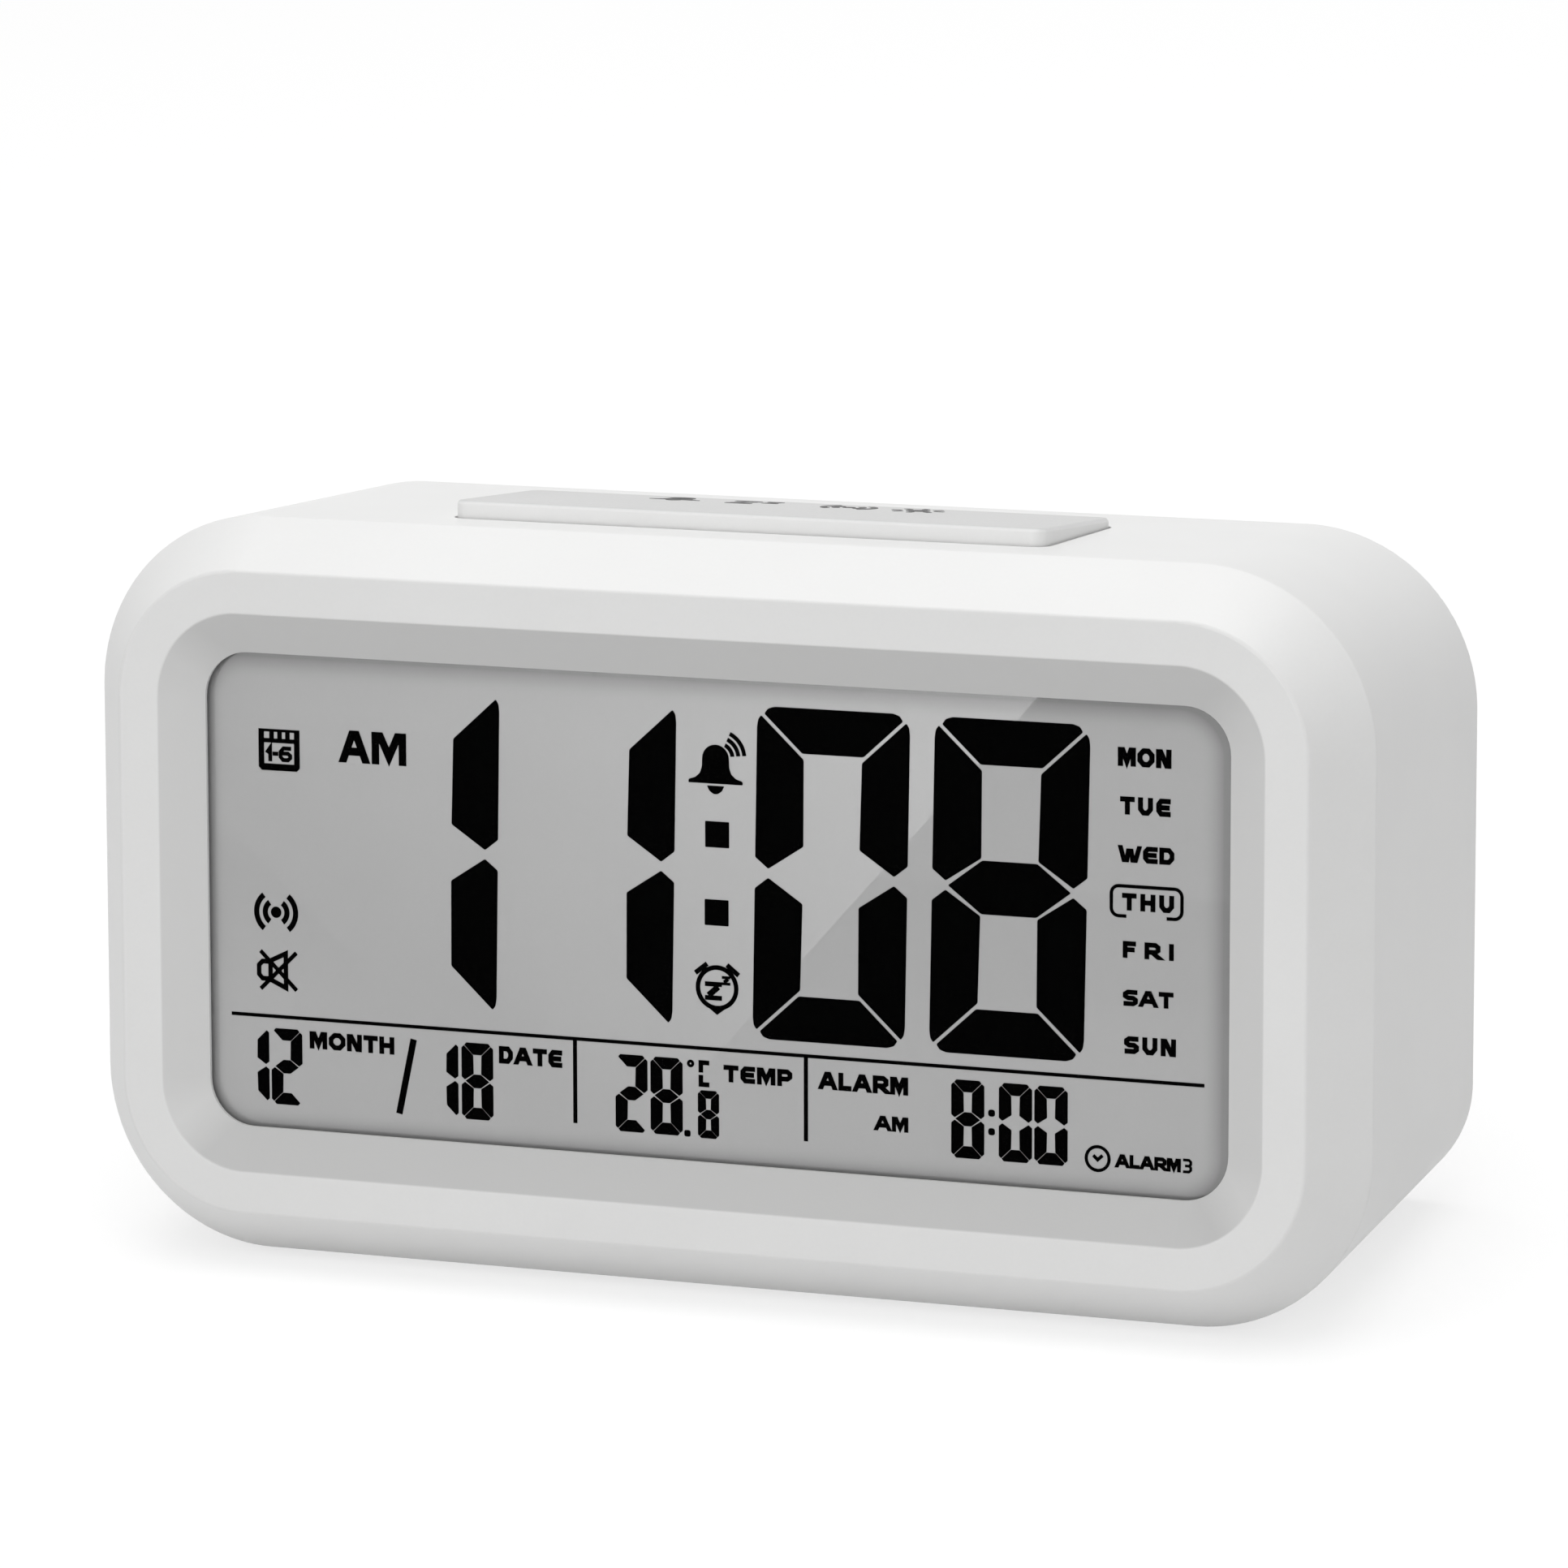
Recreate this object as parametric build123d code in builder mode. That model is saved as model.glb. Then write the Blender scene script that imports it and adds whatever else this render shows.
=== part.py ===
from build123d import *
import os
from math import cos, radians, sin, tan

# Case, measured square to the leaning face: x across, y up the face, depth behind the face
case_width = 135.0
case_height = 75.0
case_depth = 44.6
lean_angle = 10.0
corner_radius = 18.0
back_lower_radius = 11.6
side_taper = 2.0
top_taper = 1.3
back_edge_round = 1.0
wall = 2.0

# Front frame: sloping chamfer, flat ring, bevel down to the window, spigot into the housing
chamfer_width = 4.8
chamfer_depth = 6.5
ring_width = 4.3
bevel_width = 4.2
bevel_depth = 2.4
frame_edge_round = 0.5
bevel_edge_round = 0.4
frame_wall = 2.9
side_land = 0.8
spigot_wall = 1.2
spigot_length = 1.7
seam_fit = 0.15
window_lip = 0.4

# Display stack, in order behind the window
lens_thickness = 0.6
tape_thickness = 0.15
tape_relief = 0.4
glass_thickness = 1.1
guide_thickness = 2.5
reflector_thickness = 0.25
display_margin = 1.5
contact_ledge = 2.0
display_corner = 1.5
display_fit = 0.2
display_frame_wall = 1.3
strip_width = 1.6
strip_length = 100.0
lamp_width = 2.5
lamp_length = 3.5
lamp_height = 2.2
lamp_spread = 26.0
lamp_gap = 0.3

# Boards and their screws
board_thickness = 1.6
board_corner = 6.0
board_boss_diameter = 4.6
board_boss_gap = 0.4
board_boss_spread = 90.0
board_edge_margin = 1.7
small_screw = 1.8
small_screw_head = 3.4
small_screw_head_height = 1.4
small_screw_length = 5.0
screw_fit = 0.1
cross_width = 0.6
cross_depth = 0.8

# Case screws, in posts that meet the front frame's bosses
post_diameter = 8.4
post_sink = 0.4
post_front = 14.0
post_floor = 3.0
post_high = 16.0
post_low = -12.0
case_boss_diameter = 6.4
case_screw = 2.8
case_screw_head = 5.0
case_screw_head_height = 2.0
case_screw_length = 10.0
well_diameter = 5.8

# Press switches under the top bar and behind the keys
switch_size = 6.0
switch_height = 3.5
plunger_diameter = 3.4
plunger_proud = 1.2
plunger_sunk = 1.6
plunger_fit = 0.2
plunger_room = 1.0

# Top bar: the long wedge that is pressed to hear the time
bar_length = 62.8
bar_front = 12.6
bar_depth = 20.4
bar_proud_front = 1.8
bar_proud_back = 0.9
bar_gap = 0.3
bar_corner_round = 1.5
bar_edge_round = 0.4
bar_skin = 1.6
bar_flange = 1.2
bar_flange_thickness = 1.2
bar_stop_gap = 0.3
bar_post_diameter = 5.0
bar_post_length = 2.0
bar_post_spread = 36.0
bar_board_width = 10.0
bar_standoff_diameter = 5.0
bar_standoff_gap = 1.9

# Setting keys in a row on the back
key_names = ["mode_key", "set_key", "up_key", "down_key", "alarm_key", "voice_key"]
key_pitch = 15.5
key_drop = 14.0
key_length = 10.0
key_width = 6.0
key_proud = 0.8
key_gap = 0.3
key_edge_round = 0.4
key_flange = 1.3
key_flange_thickness = 1.0
key_stop_gap = 0.3
key_stem_diameter = 4.0
key_stem_length = 1.9
key_board_width = 12.0
key_standoff_diameter = 5.0
key_standoff_gap = 0.8

# Speaker behind its sound holes
speaker_diameter = 28.0
speaker_gap = 1.2
speaker_height = -4.0
speaker_flange = 2.4
speaker_flange_thickness = 1.0
speaker_basket_depth = 5.6
speaker_basket_wall = 0.9
speaker_back_diameter = 18.4
speaker_plate_thickness = 0.8
speaker_magnet_diameter = 16.0
speaker_magnet_thickness = 5.0
speaker_seat_height = 1.5
speaker_seat_wall = 1.5
speaker_tab_width = 6.0
speaker_tab_length = 3.4
speaker_tab_angle = 120.0
speaker_screw = 2.2
speaker_screw_head = 6.8
speaker_screw_head_height = 1.6
speaker_screw_length = 3.5
speaker_screw_offset = 2.9
speaker_screw_angle = 60.0
speaker_screw_count = 3
speaker_post_diameter = 4.4
cone_thickness = 0.25
cone_rim = 0.7
cone_clear = 0.3
cone_depth = 4.1
dust_cap_diameter = 8.0
dust_cap_rise = 0.9
sound_hole_diameter = 1.6
sound_hole_pitch = 3.2
sound_hole_rings = 3
sound_holes_per_ring = 6

# Battery tub, its three cells and their contacts
cell_diameter = 10.5
cell_length = 44.5
cell_names = ["cell_lower", "cell_middle", "cell_upper"]
cell_gap = 0.4
cell_end_gap = 0.05
cell_nub_diameter = 3.8
cell_nub_length = 1.0
cell_edge_round = 0.6
cell_floor_gap = 0.15
cell_door_gap = 0.4
tub_wall = 2.4
tub_floor_thickness = 1.6
tub_gap = 1.0
contact_thickness = 0.4
contact_width = 8.0
contact_height = 9.0
leaf_reach = 3.6
leaf_thickness = 0.3
tail_width = 2.4
tail_length = 3.0
tail_gap = 0.2

# Battery door, swung out on two tongues at its lower edge
door_thickness = 2.0
door_lap = 1.0
door_gap = 0.3
door_corner = 2.0
tongue_width = 6.0
tongue_spread = 30.0
tongue_root = 2.4
tongue_reach = 1.6
tongue_thickness = 1.4
tongue_clear = 0.4
tongue_pocket = 4.4
latch_rib_length = 12.0
latch_rib_height = 1.5
latch_rib_thickness = 1.2
latch_rib_gap = 0.5
grip_length = 14.0
grip_width = 0.9
grip_depth = 0.4
grip_pitch = 2.2
grip_count = 3
grip_drop = 3.5
pull_notch_length = 14.0
pull_notch_width = 5.0
pull_notch_depth = 1.2

# Air slots beside the thermistor
air_slot_length = 12.0
air_slot_width = 1.4
air_slot_pitch = 3.2
air_slot_count = 3
air_slot_inset = 19.5
air_slot_height = -4.0

# Parts on the main board, placed from the middle of the window
chip_diameter = 13.0
chip_height = 2.4
chip_round = 1.6
clock_chip_spot = (-20.0, 4.0)
voice_chip_spot = (4.0, -8.0)
amplifier_spot = (26.0, -14.0)
amplifier_length = 6.0
amplifier_width = 5.0
amplifier_height = 1.6
crystal_spot = (-38.0, 6.0)
crystal_diameter = 2.0
crystal_length = 6.2
crystal_lift = 0.1
capacitor_spots = [(12.0, 14.0), (14.0, -24.0)]
capacitor_diameter = 6.3
capacitor_height = 7.0
capacitor_round = 0.5
thermistor_bead = 2.6
thermistor_round = 0.9
thermistor_leg = 0.6
thermistor_leg_length = 5.0
thermistor_leg_gap = 0.4

# Leads and ribbons between the boards
lead_diameter = 1.2
lead_bend = 2.5
lead_rise = 5.0
lead_jog = 6.0
speaker_lead_pitch = 2.6
speaker_lead_jog = -5.0
ribbon_width = 8.0
ribbon_thickness = 0.8
ribbon_bend = 2.0
key_ribbon_spot = (-30.0, -3.5)
key_ribbon_jog = -7.0
key_ribbon_rise = 6.0
bar_ribbon_drop = 7.0

# Rubber feet under the base
foot_diameter = 8.0
foot_proud = 0.8
foot_recess = 0.8
foot_inset = 7.0
foot_side_inset = 23.5
foot_fit = 0.1
foot_round = 0.3

# Where the leaning face stands: the base is level, the part's box is centred on the origin
lean = radians(lean_angle)
body_run = case_depth - chamfer_depth


def top_at(depth):
    """Height of the case's top above the middle of the face, at a depth behind the face."""
    return case_height / 2 - (depth - chamfer_depth) * tan(radians(top_taper))


def base_at(depth):
    """Height of the case's level base, measured up the face, at a depth behind the face."""
    return -case_height / 2 + (depth - chamfer_depth) * tan(lean)


def side_at(depth):
    """Half the case's width at a depth behind the face."""
    return case_width / 2 - (depth - chamfer_depth) * tan(radians(side_taper))


front_reach = -(case_height / 2 - chamfer_width) * sin(lean)
back_corner = (top_at(case_depth) - back_edge_round) * sin(lean)
back_reach = back_corner + (case_depth - back_edge_round) * cos(lean) + back_edge_round
face_y = -(front_reach + back_reach) / 2
face_z = foot_proud + case_height / 2 * cos(lean) + chamfer_depth * sin(lean)
ACROSS = (1, 0, 0)
UP_FACE = (0, sin(lean), cos(lean))
INTO_CASE = (0, cos(lean), -sin(lean))
OUT_OF_FACE = (0, -cos(lean), sin(lean))
FACE = Plane(origin=(0, face_y, face_z), x_dir=ACROSS, z_dir=OUT_OF_FACE)
TOP = Plane(origin=(0, face_y, face_z), x_dir=ACROSS, z_dir=UP_FACE)
SIDE = Plane(origin=(0, face_y, face_z), x_dir=INTO_CASE, z_dir=ACROSS)
DEPTH = Axis((0, face_y, face_z), INTO_CASE)
HEIGHT = Axis((0, face_y, face_z), UP_FACE)


def at_depth(depth):
    """Plane parallel to the face, x across and y up, its normal out of the face."""
    return FACE.offset(-depth)


def at_height(height):
    """Plane square to the face, x across and y into the case, its normal up the face."""
    return TOP.offset(height)


def facing_back(depth):
    """Plane parallel to the face, x across and y down, its normal into the case."""
    return Plane(origin=at_depth(depth).origin, x_dir=ACROSS, z_dir=INTO_CASE)


def at_side(x):
    """Plane along the case's side, x into the case and y up the face, its normal across."""
    return SIDE.offset(x)


# Depths behind the face
window_inset = chamfer_width + ring_width + bevel_width
window_width = case_width - 2 * window_inset
window_height = case_height - 2 * window_inset
seam_depth = chamfer_depth + side_land
spigot_end = seam_depth + spigot_length
lens_front = bevel_depth + window_lip
tape_front = lens_front + lens_thickness
front_glass_front = tape_front + tape_thickness
rear_glass_front = front_glass_front + glass_thickness
guide_front = rear_glass_front + glass_thickness
reflector_front = guide_front + guide_thickness
board_front = reflector_front + reflector_thickness
board_back = board_front + board_thickness
back_inside = case_depth - wall
air_slot_spot = (air_slot_inset - case_width / 2, air_slot_height)

# Display and main board outlines
glass_width = window_width + 2 * display_margin
glass_height = window_height + 2 * display_margin
pocket_width = glass_width + 2 * display_fit
pocket_height = glass_height + contact_ledge + 2 * display_fit
board_width = pocket_width + 2 * display_frame_wall
board_boss_high = glass_height / 2 + display_fit + display_frame_wall + board_boss_gap
board_boss_high += board_boss_diameter / 2
board_boss_low = -(board_boss_high + contact_ledge)
board_height = board_boss_high - board_boss_low + 2 * board_edge_margin
board_middle = (board_boss_high + board_boss_low) / 2
board_screw_spots = [
    (side * board_boss_spread / 2, y)
    for side in (-1, 1)
    for y in (board_boss_high, board_boss_low)
]

# Case posts
post_x = side_at(post_front) - wall + post_sink - post_diameter / 2
post_spots = [(side * post_x, y) for side in (-1, 1) for y in (post_high, post_low)]
case_screw_seat = post_front + post_floor

# Top bar and the switches under it
bar_back = bar_front + bar_depth
bar_middle = bar_front + bar_depth / 2
bar_flange_top = top_at(bar_back + bar_flange) - wall - bar_stop_gap
bar_flange_bottom = bar_flange_top - bar_flange_thickness
bar_roof = top_at(bar_back) + bar_proud_back - bar_skin
bar_plunger_top = bar_flange_bottom - bar_post_length
bar_switch_top = bar_plunger_top - plunger_proud
bar_board_top = bar_switch_top - switch_height
bar_post_spots = [(side * bar_post_spread / 2, bar_middle) for side in (-1, 1)]
bar_standoff_x = bar_length / 2 + bar_flange + bar_standoff_gap + bar_standoff_diameter / 2
bar_standoff_spots = [(side * bar_standoff_x, bar_middle) for side in (-1, 1)]
bar_board_length = 2 * bar_standoff_x + bar_standoff_diameter + 2 * board_edge_margin

# Keys and the switches behind them
key_row = top_at(case_depth) - key_drop
key_spots = [
    ((index - (len(key_names) - 1) / 2) * key_pitch, key_row)
    for index in range(len(key_names))
]
key_flange_back = back_inside - key_stop_gap
key_flange_front = key_flange_back - key_flange_thickness
key_plunger_top = key_flange_front - key_stem_length
key_switch_top = key_plunger_top - plunger_proud
key_board_back = key_switch_top - switch_height
key_board_front = key_board_back - board_thickness
key_standoff_x = key_spots[-1][0] + key_length / 2 + key_flange + key_standoff_gap
key_standoff_x += key_standoff_diameter / 2
key_standoff_spots = [(side * key_standoff_x, key_row) for side in (-1, 1)]
key_board_length = 2 * key_standoff_x + key_standoff_diameter + 2 * board_edge_margin
key_board_low = key_row - key_board_width / 2

# Speaker
speaker_x = post_x - post_diameter / 2 - speaker_gap - speaker_diameter / 2
speaker_seat = back_inside - speaker_seat_height
speaker_flange_front = speaker_seat - speaker_flange_thickness
speaker_plate_back = speaker_seat - speaker_basket_depth
speaker_plate_front = speaker_plate_back - speaker_plate_thickness
speaker_screw_circle = speaker_diameter / 2 + speaker_screw_offset
speaker_spot = (speaker_x, speaker_height)
speaker_screw_angles = [
    radians(speaker_screw_angle + 360 * index / speaker_screw_count)
    for index in range(speaker_screw_count)
]
speaker_screw_spots = [
    (speaker_x + speaker_screw_circle * cos(angle), speaker_height + speaker_screw_circle * sin(angle))
    for angle in speaker_screw_angles
]
speaker_tab_circle = (speaker_diameter + speaker_tab_length) / 2
speaker_origin = FACE.from_local_coords((speaker_x, speaker_height, 0))
SPEAKER_SECTION = Plane(origin=speaker_origin, x_dir=ACROSS, z_dir=UP_FACE)
SPEAKER_AXIS = Axis(speaker_origin, INTO_CASE)

# Battery tub
cell_pitch = cell_diameter + cell_gap
tub_length = contact_thickness + cell_length + 2 * cell_end_gap + leaf_reach
tub_height = len(cell_names) * cell_pitch
tub_right = speaker_x - speaker_screw_circle - speaker_screw_head / 2 - tub_gap - tub_wall
tub_left = tub_right - tub_length
tub_x = (tub_left + tub_right) / 2
tub_top = key_board_low - tub_gap - tub_wall
tub_bottom = tub_top - tub_height
tub_y = (tub_top + tub_bottom) / 2
door_inside = case_depth - door_thickness
cell_back = door_inside - cell_door_gap
cell_depth = cell_back - cell_diameter / 2
tub_floor = cell_back - cell_diameter - cell_floor_gap
tub_floor_front = tub_floor - tub_floor_thickness
cell_heights = [tub_bottom + cell_pitch * (index + 0.5) for index in range(len(cell_names))]
contact_low = tub_floor + cell_floor_gap
door_width = tub_length + 2 * door_lap
door_height = tub_height + 2 * door_lap
door_low = tub_bottom - door_lap
tongue_spots = [tub_x + side * tongue_spread / 2 for side in (-1, 1)]

# Feet, on the level base
base_front = face_y - case_height / 2 * sin(lean) + chamfer_depth * cos(lean)
base_back = base_front + body_run / cos(lean)
foot_names = ["foot_front_left", "foot_front_right", "foot_back_left", "foot_back_right"]
foot_spots = [
    (side * (case_width / 2 - foot_side_inset), y)
    for y in (base_front + foot_inset, base_back - foot_inset)
    for side in (-1, 1)
]
BASE = Plane.XY.offset(foot_proud)


def face_outline(inset):
    """Draw the face's rounded outline, drawn in by an inset, in the sketch being made."""
    RectangleRounded(case_width - 2 * inset, case_height - 2 * inset, corner_radius - inset)


def case_outline(depth, inset=0.0):
    """Draw the tapering case's outline at a depth, drawn in by an inset, in the sketch being made."""
    top = top_at(depth) - inset
    base = base_at(depth) + inset
    share = (depth - chamfer_depth) / body_run
    lower_radius = corner_radius + (back_lower_radius - corner_radius) * share
    with Locations((0, (top + base) / 2)):
        Rectangle(2 * (side_at(depth) - inset), top - base)
    fillet(vertices().group_by(Axis.Y)[0], lower_radius - inset)
    fillet(vertices().group_by(Axis.Y)[-1], corner_radius - inset)


def pegs(plane, spots, diameter, length, mode=Mode.ADD):
    """Add or cut a round peg at each spot of a plane, along the plane's normal."""
    with BuildSketch(plane) as ends:
        with Locations(*spots):
            Circle(diameter / 2)
    extrude(ends.sketch, amount=length, mode=mode)


def blocks(plane, spots, width, height, length, mode=Mode.ADD):
    """Add or cut a block at each spot of a plane, along the plane's normal."""
    with BuildSketch(plane) as ends:
        with Locations(*spots):
            Rectangle(width, height)
    extrude(ends.sketch, amount=length, mode=mode)


def turned(spots):
    """The same spots on a plane whose y runs the other way."""
    return [(x, -y) for x, y in spots]


def screws(seat, spots, shank, length, head, head_height):
    """Add cross-headed screws whose heads stand on a plane, shanks below it."""
    pegs(seat, spots, head, head_height)
    pegs(seat, spots, shank, -length)
    crown = seat.offset(head_height)
    slot_length = head - 2 * cross_width
    blocks(crown, spots, slot_length, cross_width, -cross_depth, Mode.SUBTRACT)
    blocks(crown, spots, cross_width, slot_length, -cross_depth, Mode.SUBTRACT)


def lead(plane, points, section_width, bend, section_height=None):
    """Add a lead along a bent route on a plane: round, or flat where a height is given."""
    with BuildLine(plane) as route:
        FilletPolyline(*points, radius=bend)
    start = Plane(origin=route.line @ 0, x_dir=plane.z_dir, z_dir=route.line % 0)
    with BuildSketch(start) as section:
        if section_height is None:
            Circle(section_width / 2)
        else:
            Rectangle(section_width, section_height)
    sweep(section.sketch, path=route.line)


def write(builder, name):
    """Label a finished piece and write its file."""
    builder.part.label = name
    export_step(builder.part, f"parts/{name}.step")


os.makedirs("parts", exist_ok=True)

# Front frame: one moulding with the chamfer, the ring, the window and the bosses behind
with BuildPart() as front_case:
    with BuildSketch(at_depth(0)):
        face_outline(chamfer_width)
    with BuildSketch(at_depth(chamfer_depth)):
        face_outline(0)
    loft(ruled=True)
    with BuildSketch(at_depth(chamfer_depth)):
        case_outline(chamfer_depth)
    with BuildSketch(at_depth(seam_depth)):
        case_outline(seam_depth)
    loft(ruled=True)
    # Round the ring's outer edge and the edge where the chamfer meets the sides
    rims = edges().group_by(DEPTH)
    ring_edge, chamfer_foot = rims[0], rims[2]
    fillet(ring_edge + chamfer_foot, frame_edge_round)
    with BuildSketch(at_depth(0)):
        face_outline(chamfer_width + ring_width)
    with BuildSketch(at_depth(bevel_depth)):
        face_outline(window_inset)
    loft(ruled=True, mode=Mode.SUBTRACT)
    fillet(faces().sort_by(DEPTH)[0].inner_wires()[0].edges(), bevel_edge_round)
    with BuildSketch(at_depth(bevel_depth)):
        face_outline(window_inset)
    extrude(amount=-window_lip, mode=Mode.SUBTRACT)
    with BuildSketch(at_depth(lens_front)):
        face_outline(chamfer_width * (1 - lens_front / chamfer_depth) + frame_wall)
    with BuildSketch(at_depth(chamfer_depth)):
        face_outline(frame_wall)
    loft(ruled=True, mode=Mode.SUBTRACT)
    with BuildSketch(at_depth(chamfer_depth)):
        face_outline(frame_wall)
    extrude(amount=-side_land, mode=Mode.SUBTRACT)
    with BuildSketch(at_depth(chamfer_depth)):
        case_outline(chamfer_depth, wall + seam_fit)
    with BuildSketch(at_depth(spigot_end)):
        case_outline(spigot_end, wall + seam_fit)
    loft(ruled=True)
    with BuildSketch(at_depth(chamfer_depth)):
        case_outline(chamfer_depth, wall + seam_fit + spigot_wall)
    with BuildSketch(at_depth(spigot_end)):
        case_outline(spigot_end, wall + seam_fit + spigot_wall)
    loft(ruled=True, mode=Mode.SUBTRACT)
    pegs(at_depth(lens_front), board_screw_spots, board_boss_diameter, lens_front - board_front)
    pegs(at_depth(lens_front), post_spots, case_boss_diameter, lens_front - post_front)
    pegs(at_depth(board_front), board_screw_spots, small_screw + 2 * screw_fit,
         small_screw_length - board_thickness + screw_fit, Mode.SUBTRACT)
    pegs(at_depth(post_front), post_spots, case_screw + 2 * screw_fit,
         case_screw_length - post_floor + screw_fit, Mode.SUBTRACT)
write(front_case, "front_case")

# Rear housing: the tapering shell with its battery tub, posts, standoffs and openings
with BuildPart() as rear_housing:
    with BuildSketch(at_depth(seam_depth)):
        case_outline(seam_depth)
    with BuildSketch(at_depth(case_depth)):
        case_outline(case_depth)
    loft(ruled=True)
    fillet(faces().sort_by(DEPTH)[-1].edges(), back_edge_round)
    with BuildSketch(at_depth(seam_depth)):
        case_outline(seam_depth, wall)
    with BuildSketch(at_depth(back_inside)):
        case_outline(back_inside, wall)
    loft(ruled=True, mode=Mode.SUBTRACT)
    with BuildSketch(at_height(top_at(bar_front) + bar_proud_front)):
        with Locations((0, bar_middle)):
            RectangleRounded(bar_length + 2 * bar_gap, bar_depth + 2 * bar_gap,
                             bar_corner_round + bar_gap)
    extrude(amount=bar_flange_top - top_at(bar_front) - bar_proud_front, mode=Mode.SUBTRACT)
    pegs(at_height(bar_board_top), bar_standoff_spots, bar_standoff_diameter,
         top_at(bar_middle) - wall / 2 - bar_board_top)
    pegs(at_height(bar_board_top), bar_standoff_spots, small_screw + 2 * screw_fit,
         small_screw_length - board_thickness + screw_fit, Mode.SUBTRACT)
    pegs(at_depth(back_inside + wall / 2), post_spots, post_diameter,
         back_inside + wall / 2 - post_front)
    pegs(at_depth(case_depth), post_spots, well_diameter, case_depth - case_screw_seat, Mode.SUBTRACT)
    pegs(at_depth(case_depth), post_spots, case_screw + 2 * screw_fit, case_depth - post_front,
         Mode.SUBTRACT)
    pegs(at_depth(key_board_back), key_standoff_spots, key_standoff_diameter,
         key_board_back - back_inside - wall / 2)
    pegs(at_depth(key_board_back), key_standoff_spots, small_screw + 2 * screw_fit,
         -(small_screw_length - board_thickness + screw_fit), Mode.SUBTRACT)
    with BuildSketch(at_depth(case_depth)):
        with Locations(*key_spots):
            SlotOverall(key_length + 2 * key_gap, key_width + 2 * key_gap)
    extrude(amount=wall, mode=Mode.SUBTRACT)
    with BuildSketch(at_depth(back_inside)):
        with Locations(speaker_spot):
            Circle(speaker_diameter / 2)
            Circle(speaker_diameter / 2 - speaker_seat_wall, mode=Mode.SUBTRACT)
    extrude(amount=speaker_seat_height)
    pegs(at_depth(speaker_flange_front), speaker_screw_spots, speaker_post_diameter,
         speaker_flange_front - back_inside - wall / 2)
    pegs(at_depth(speaker_flange_front), speaker_screw_spots, speaker_screw + 2 * screw_fit,
         -(speaker_screw_length + screw_fit), Mode.SUBTRACT)
    with BuildSketch(at_depth(case_depth)):
        with Locations(speaker_spot):
            Circle(sound_hole_diameter / 2)
            for ring in range(1, sound_hole_rings + 1):
                with PolarLocations(ring * sound_hole_pitch, ring * sound_holes_per_ring):
                    Circle(sound_hole_diameter / 2)
    extrude(amount=wall, mode=Mode.SUBTRACT)
    with BuildSketch(at_depth(case_depth)):
        with Locations(air_slot_spot):
            with GridLocations(air_slot_pitch, 1, air_slot_count, 1):
                SlotOverall(air_slot_length, air_slot_width, rotation=90)
    extrude(amount=wall, mode=Mode.SUBTRACT)
    blocks(at_depth(tub_floor_front), [(tub_x, tub_y)], tub_length + 2 * tub_wall,
           tub_height + 2 * tub_wall, tub_floor_front - back_inside)
    blocks(at_depth(tub_floor), [(tub_x, tub_y)], tub_length, tub_height, tub_floor - case_depth,
           Mode.SUBTRACT)
    with BuildSketch(at_depth(door_inside)):
        with Locations((tub_x, tub_y)):
            RectangleRounded(door_width + 2 * door_gap, door_height + 2 * door_gap,
                             door_corner + door_gap)
    extrude(amount=-door_thickness, mode=Mode.SUBTRACT)
    blocks(at_depth(door_inside), [(x, tub_bottom - tub_wall / 2) for x in tongue_spots],
           tongue_width + 2 * tongue_clear, tub_wall, tongue_pocket, Mode.SUBTRACT)
    with BuildSketch(at_depth(case_depth)):
        with Locations((tub_x, tub_top + door_lap)):
            SlotOverall(pull_notch_length, pull_notch_width)
    extrude(amount=pull_notch_depth, mode=Mode.SUBTRACT)
    blocks(at_depth(tub_floor), [
        (tub_left + contact_thickness / 2, cell_heights[0]),
        (tub_right - contact_thickness / 2, cell_heights[-1]),
    ], contact_thickness + 2 * tail_gap, tail_width + 2 * tail_gap, tub_floor_thickness, Mode.SUBTRACT)
    pegs(BASE, foot_spots, foot_diameter + 2 * foot_fit, foot_recess, Mode.SUBTRACT)
write(rear_housing, "rear_housing")

# Lens: clear sheet behind the window's lip
with BuildPart() as display_lens:
    with BuildSketch(at_depth(lens_front)):
        RectangleRounded(glass_width, glass_height, display_corner)
    extrude(amount=-lens_thickness)
write(display_lens, "display_lens")

# Tape: thin frame that sticks the lens to the display glass
with BuildPart() as lens_tape:
    with BuildSketch(at_depth(tape_front)):
        RectangleRounded(glass_width, glass_height, display_corner)
        Rectangle(window_width + 2 * tape_relief, window_height + 2 * tape_relief, mode=Mode.SUBTRACT)
    extrude(amount=-tape_thickness)
write(lens_tape, "lens_tape")

# Display glass: two plates, the front one longer below for its contacts
with BuildPart() as lcd_front_glass:
    blocks(at_depth(front_glass_front), [(0, -contact_ledge / 2)], glass_width,
           glass_height + contact_ledge, -glass_thickness)
write(lcd_front_glass, "lcd_front_glass")

with BuildPart() as lcd_rear_glass:
    blocks(at_depth(rear_glass_front), [(0, 0)], glass_width, glass_height, -glass_thickness)
write(lcd_rear_glass, "lcd_rear_glass")

# Back light: clear guide lit from its right edge, white sheet behind it
lamp_x = glass_width / 2 - lamp_width / 2 - lamp_gap
guide_right = lamp_x - lamp_width / 2 - lamp_gap
guide_width = guide_right + glass_width / 2
guide_x = guide_right - guide_width / 2

with BuildPart() as light_guide:
    blocks(at_depth(guide_front), [(guide_x, 0)], guide_width, glass_height, -guide_thickness)
write(light_guide, "light_guide")

with BuildPart() as reflector_sheet:
    blocks(at_depth(reflector_front), [(guide_x, 0)], guide_width, glass_height, -reflector_thickness)
write(reflector_sheet, "reflector_sheet")

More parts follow.
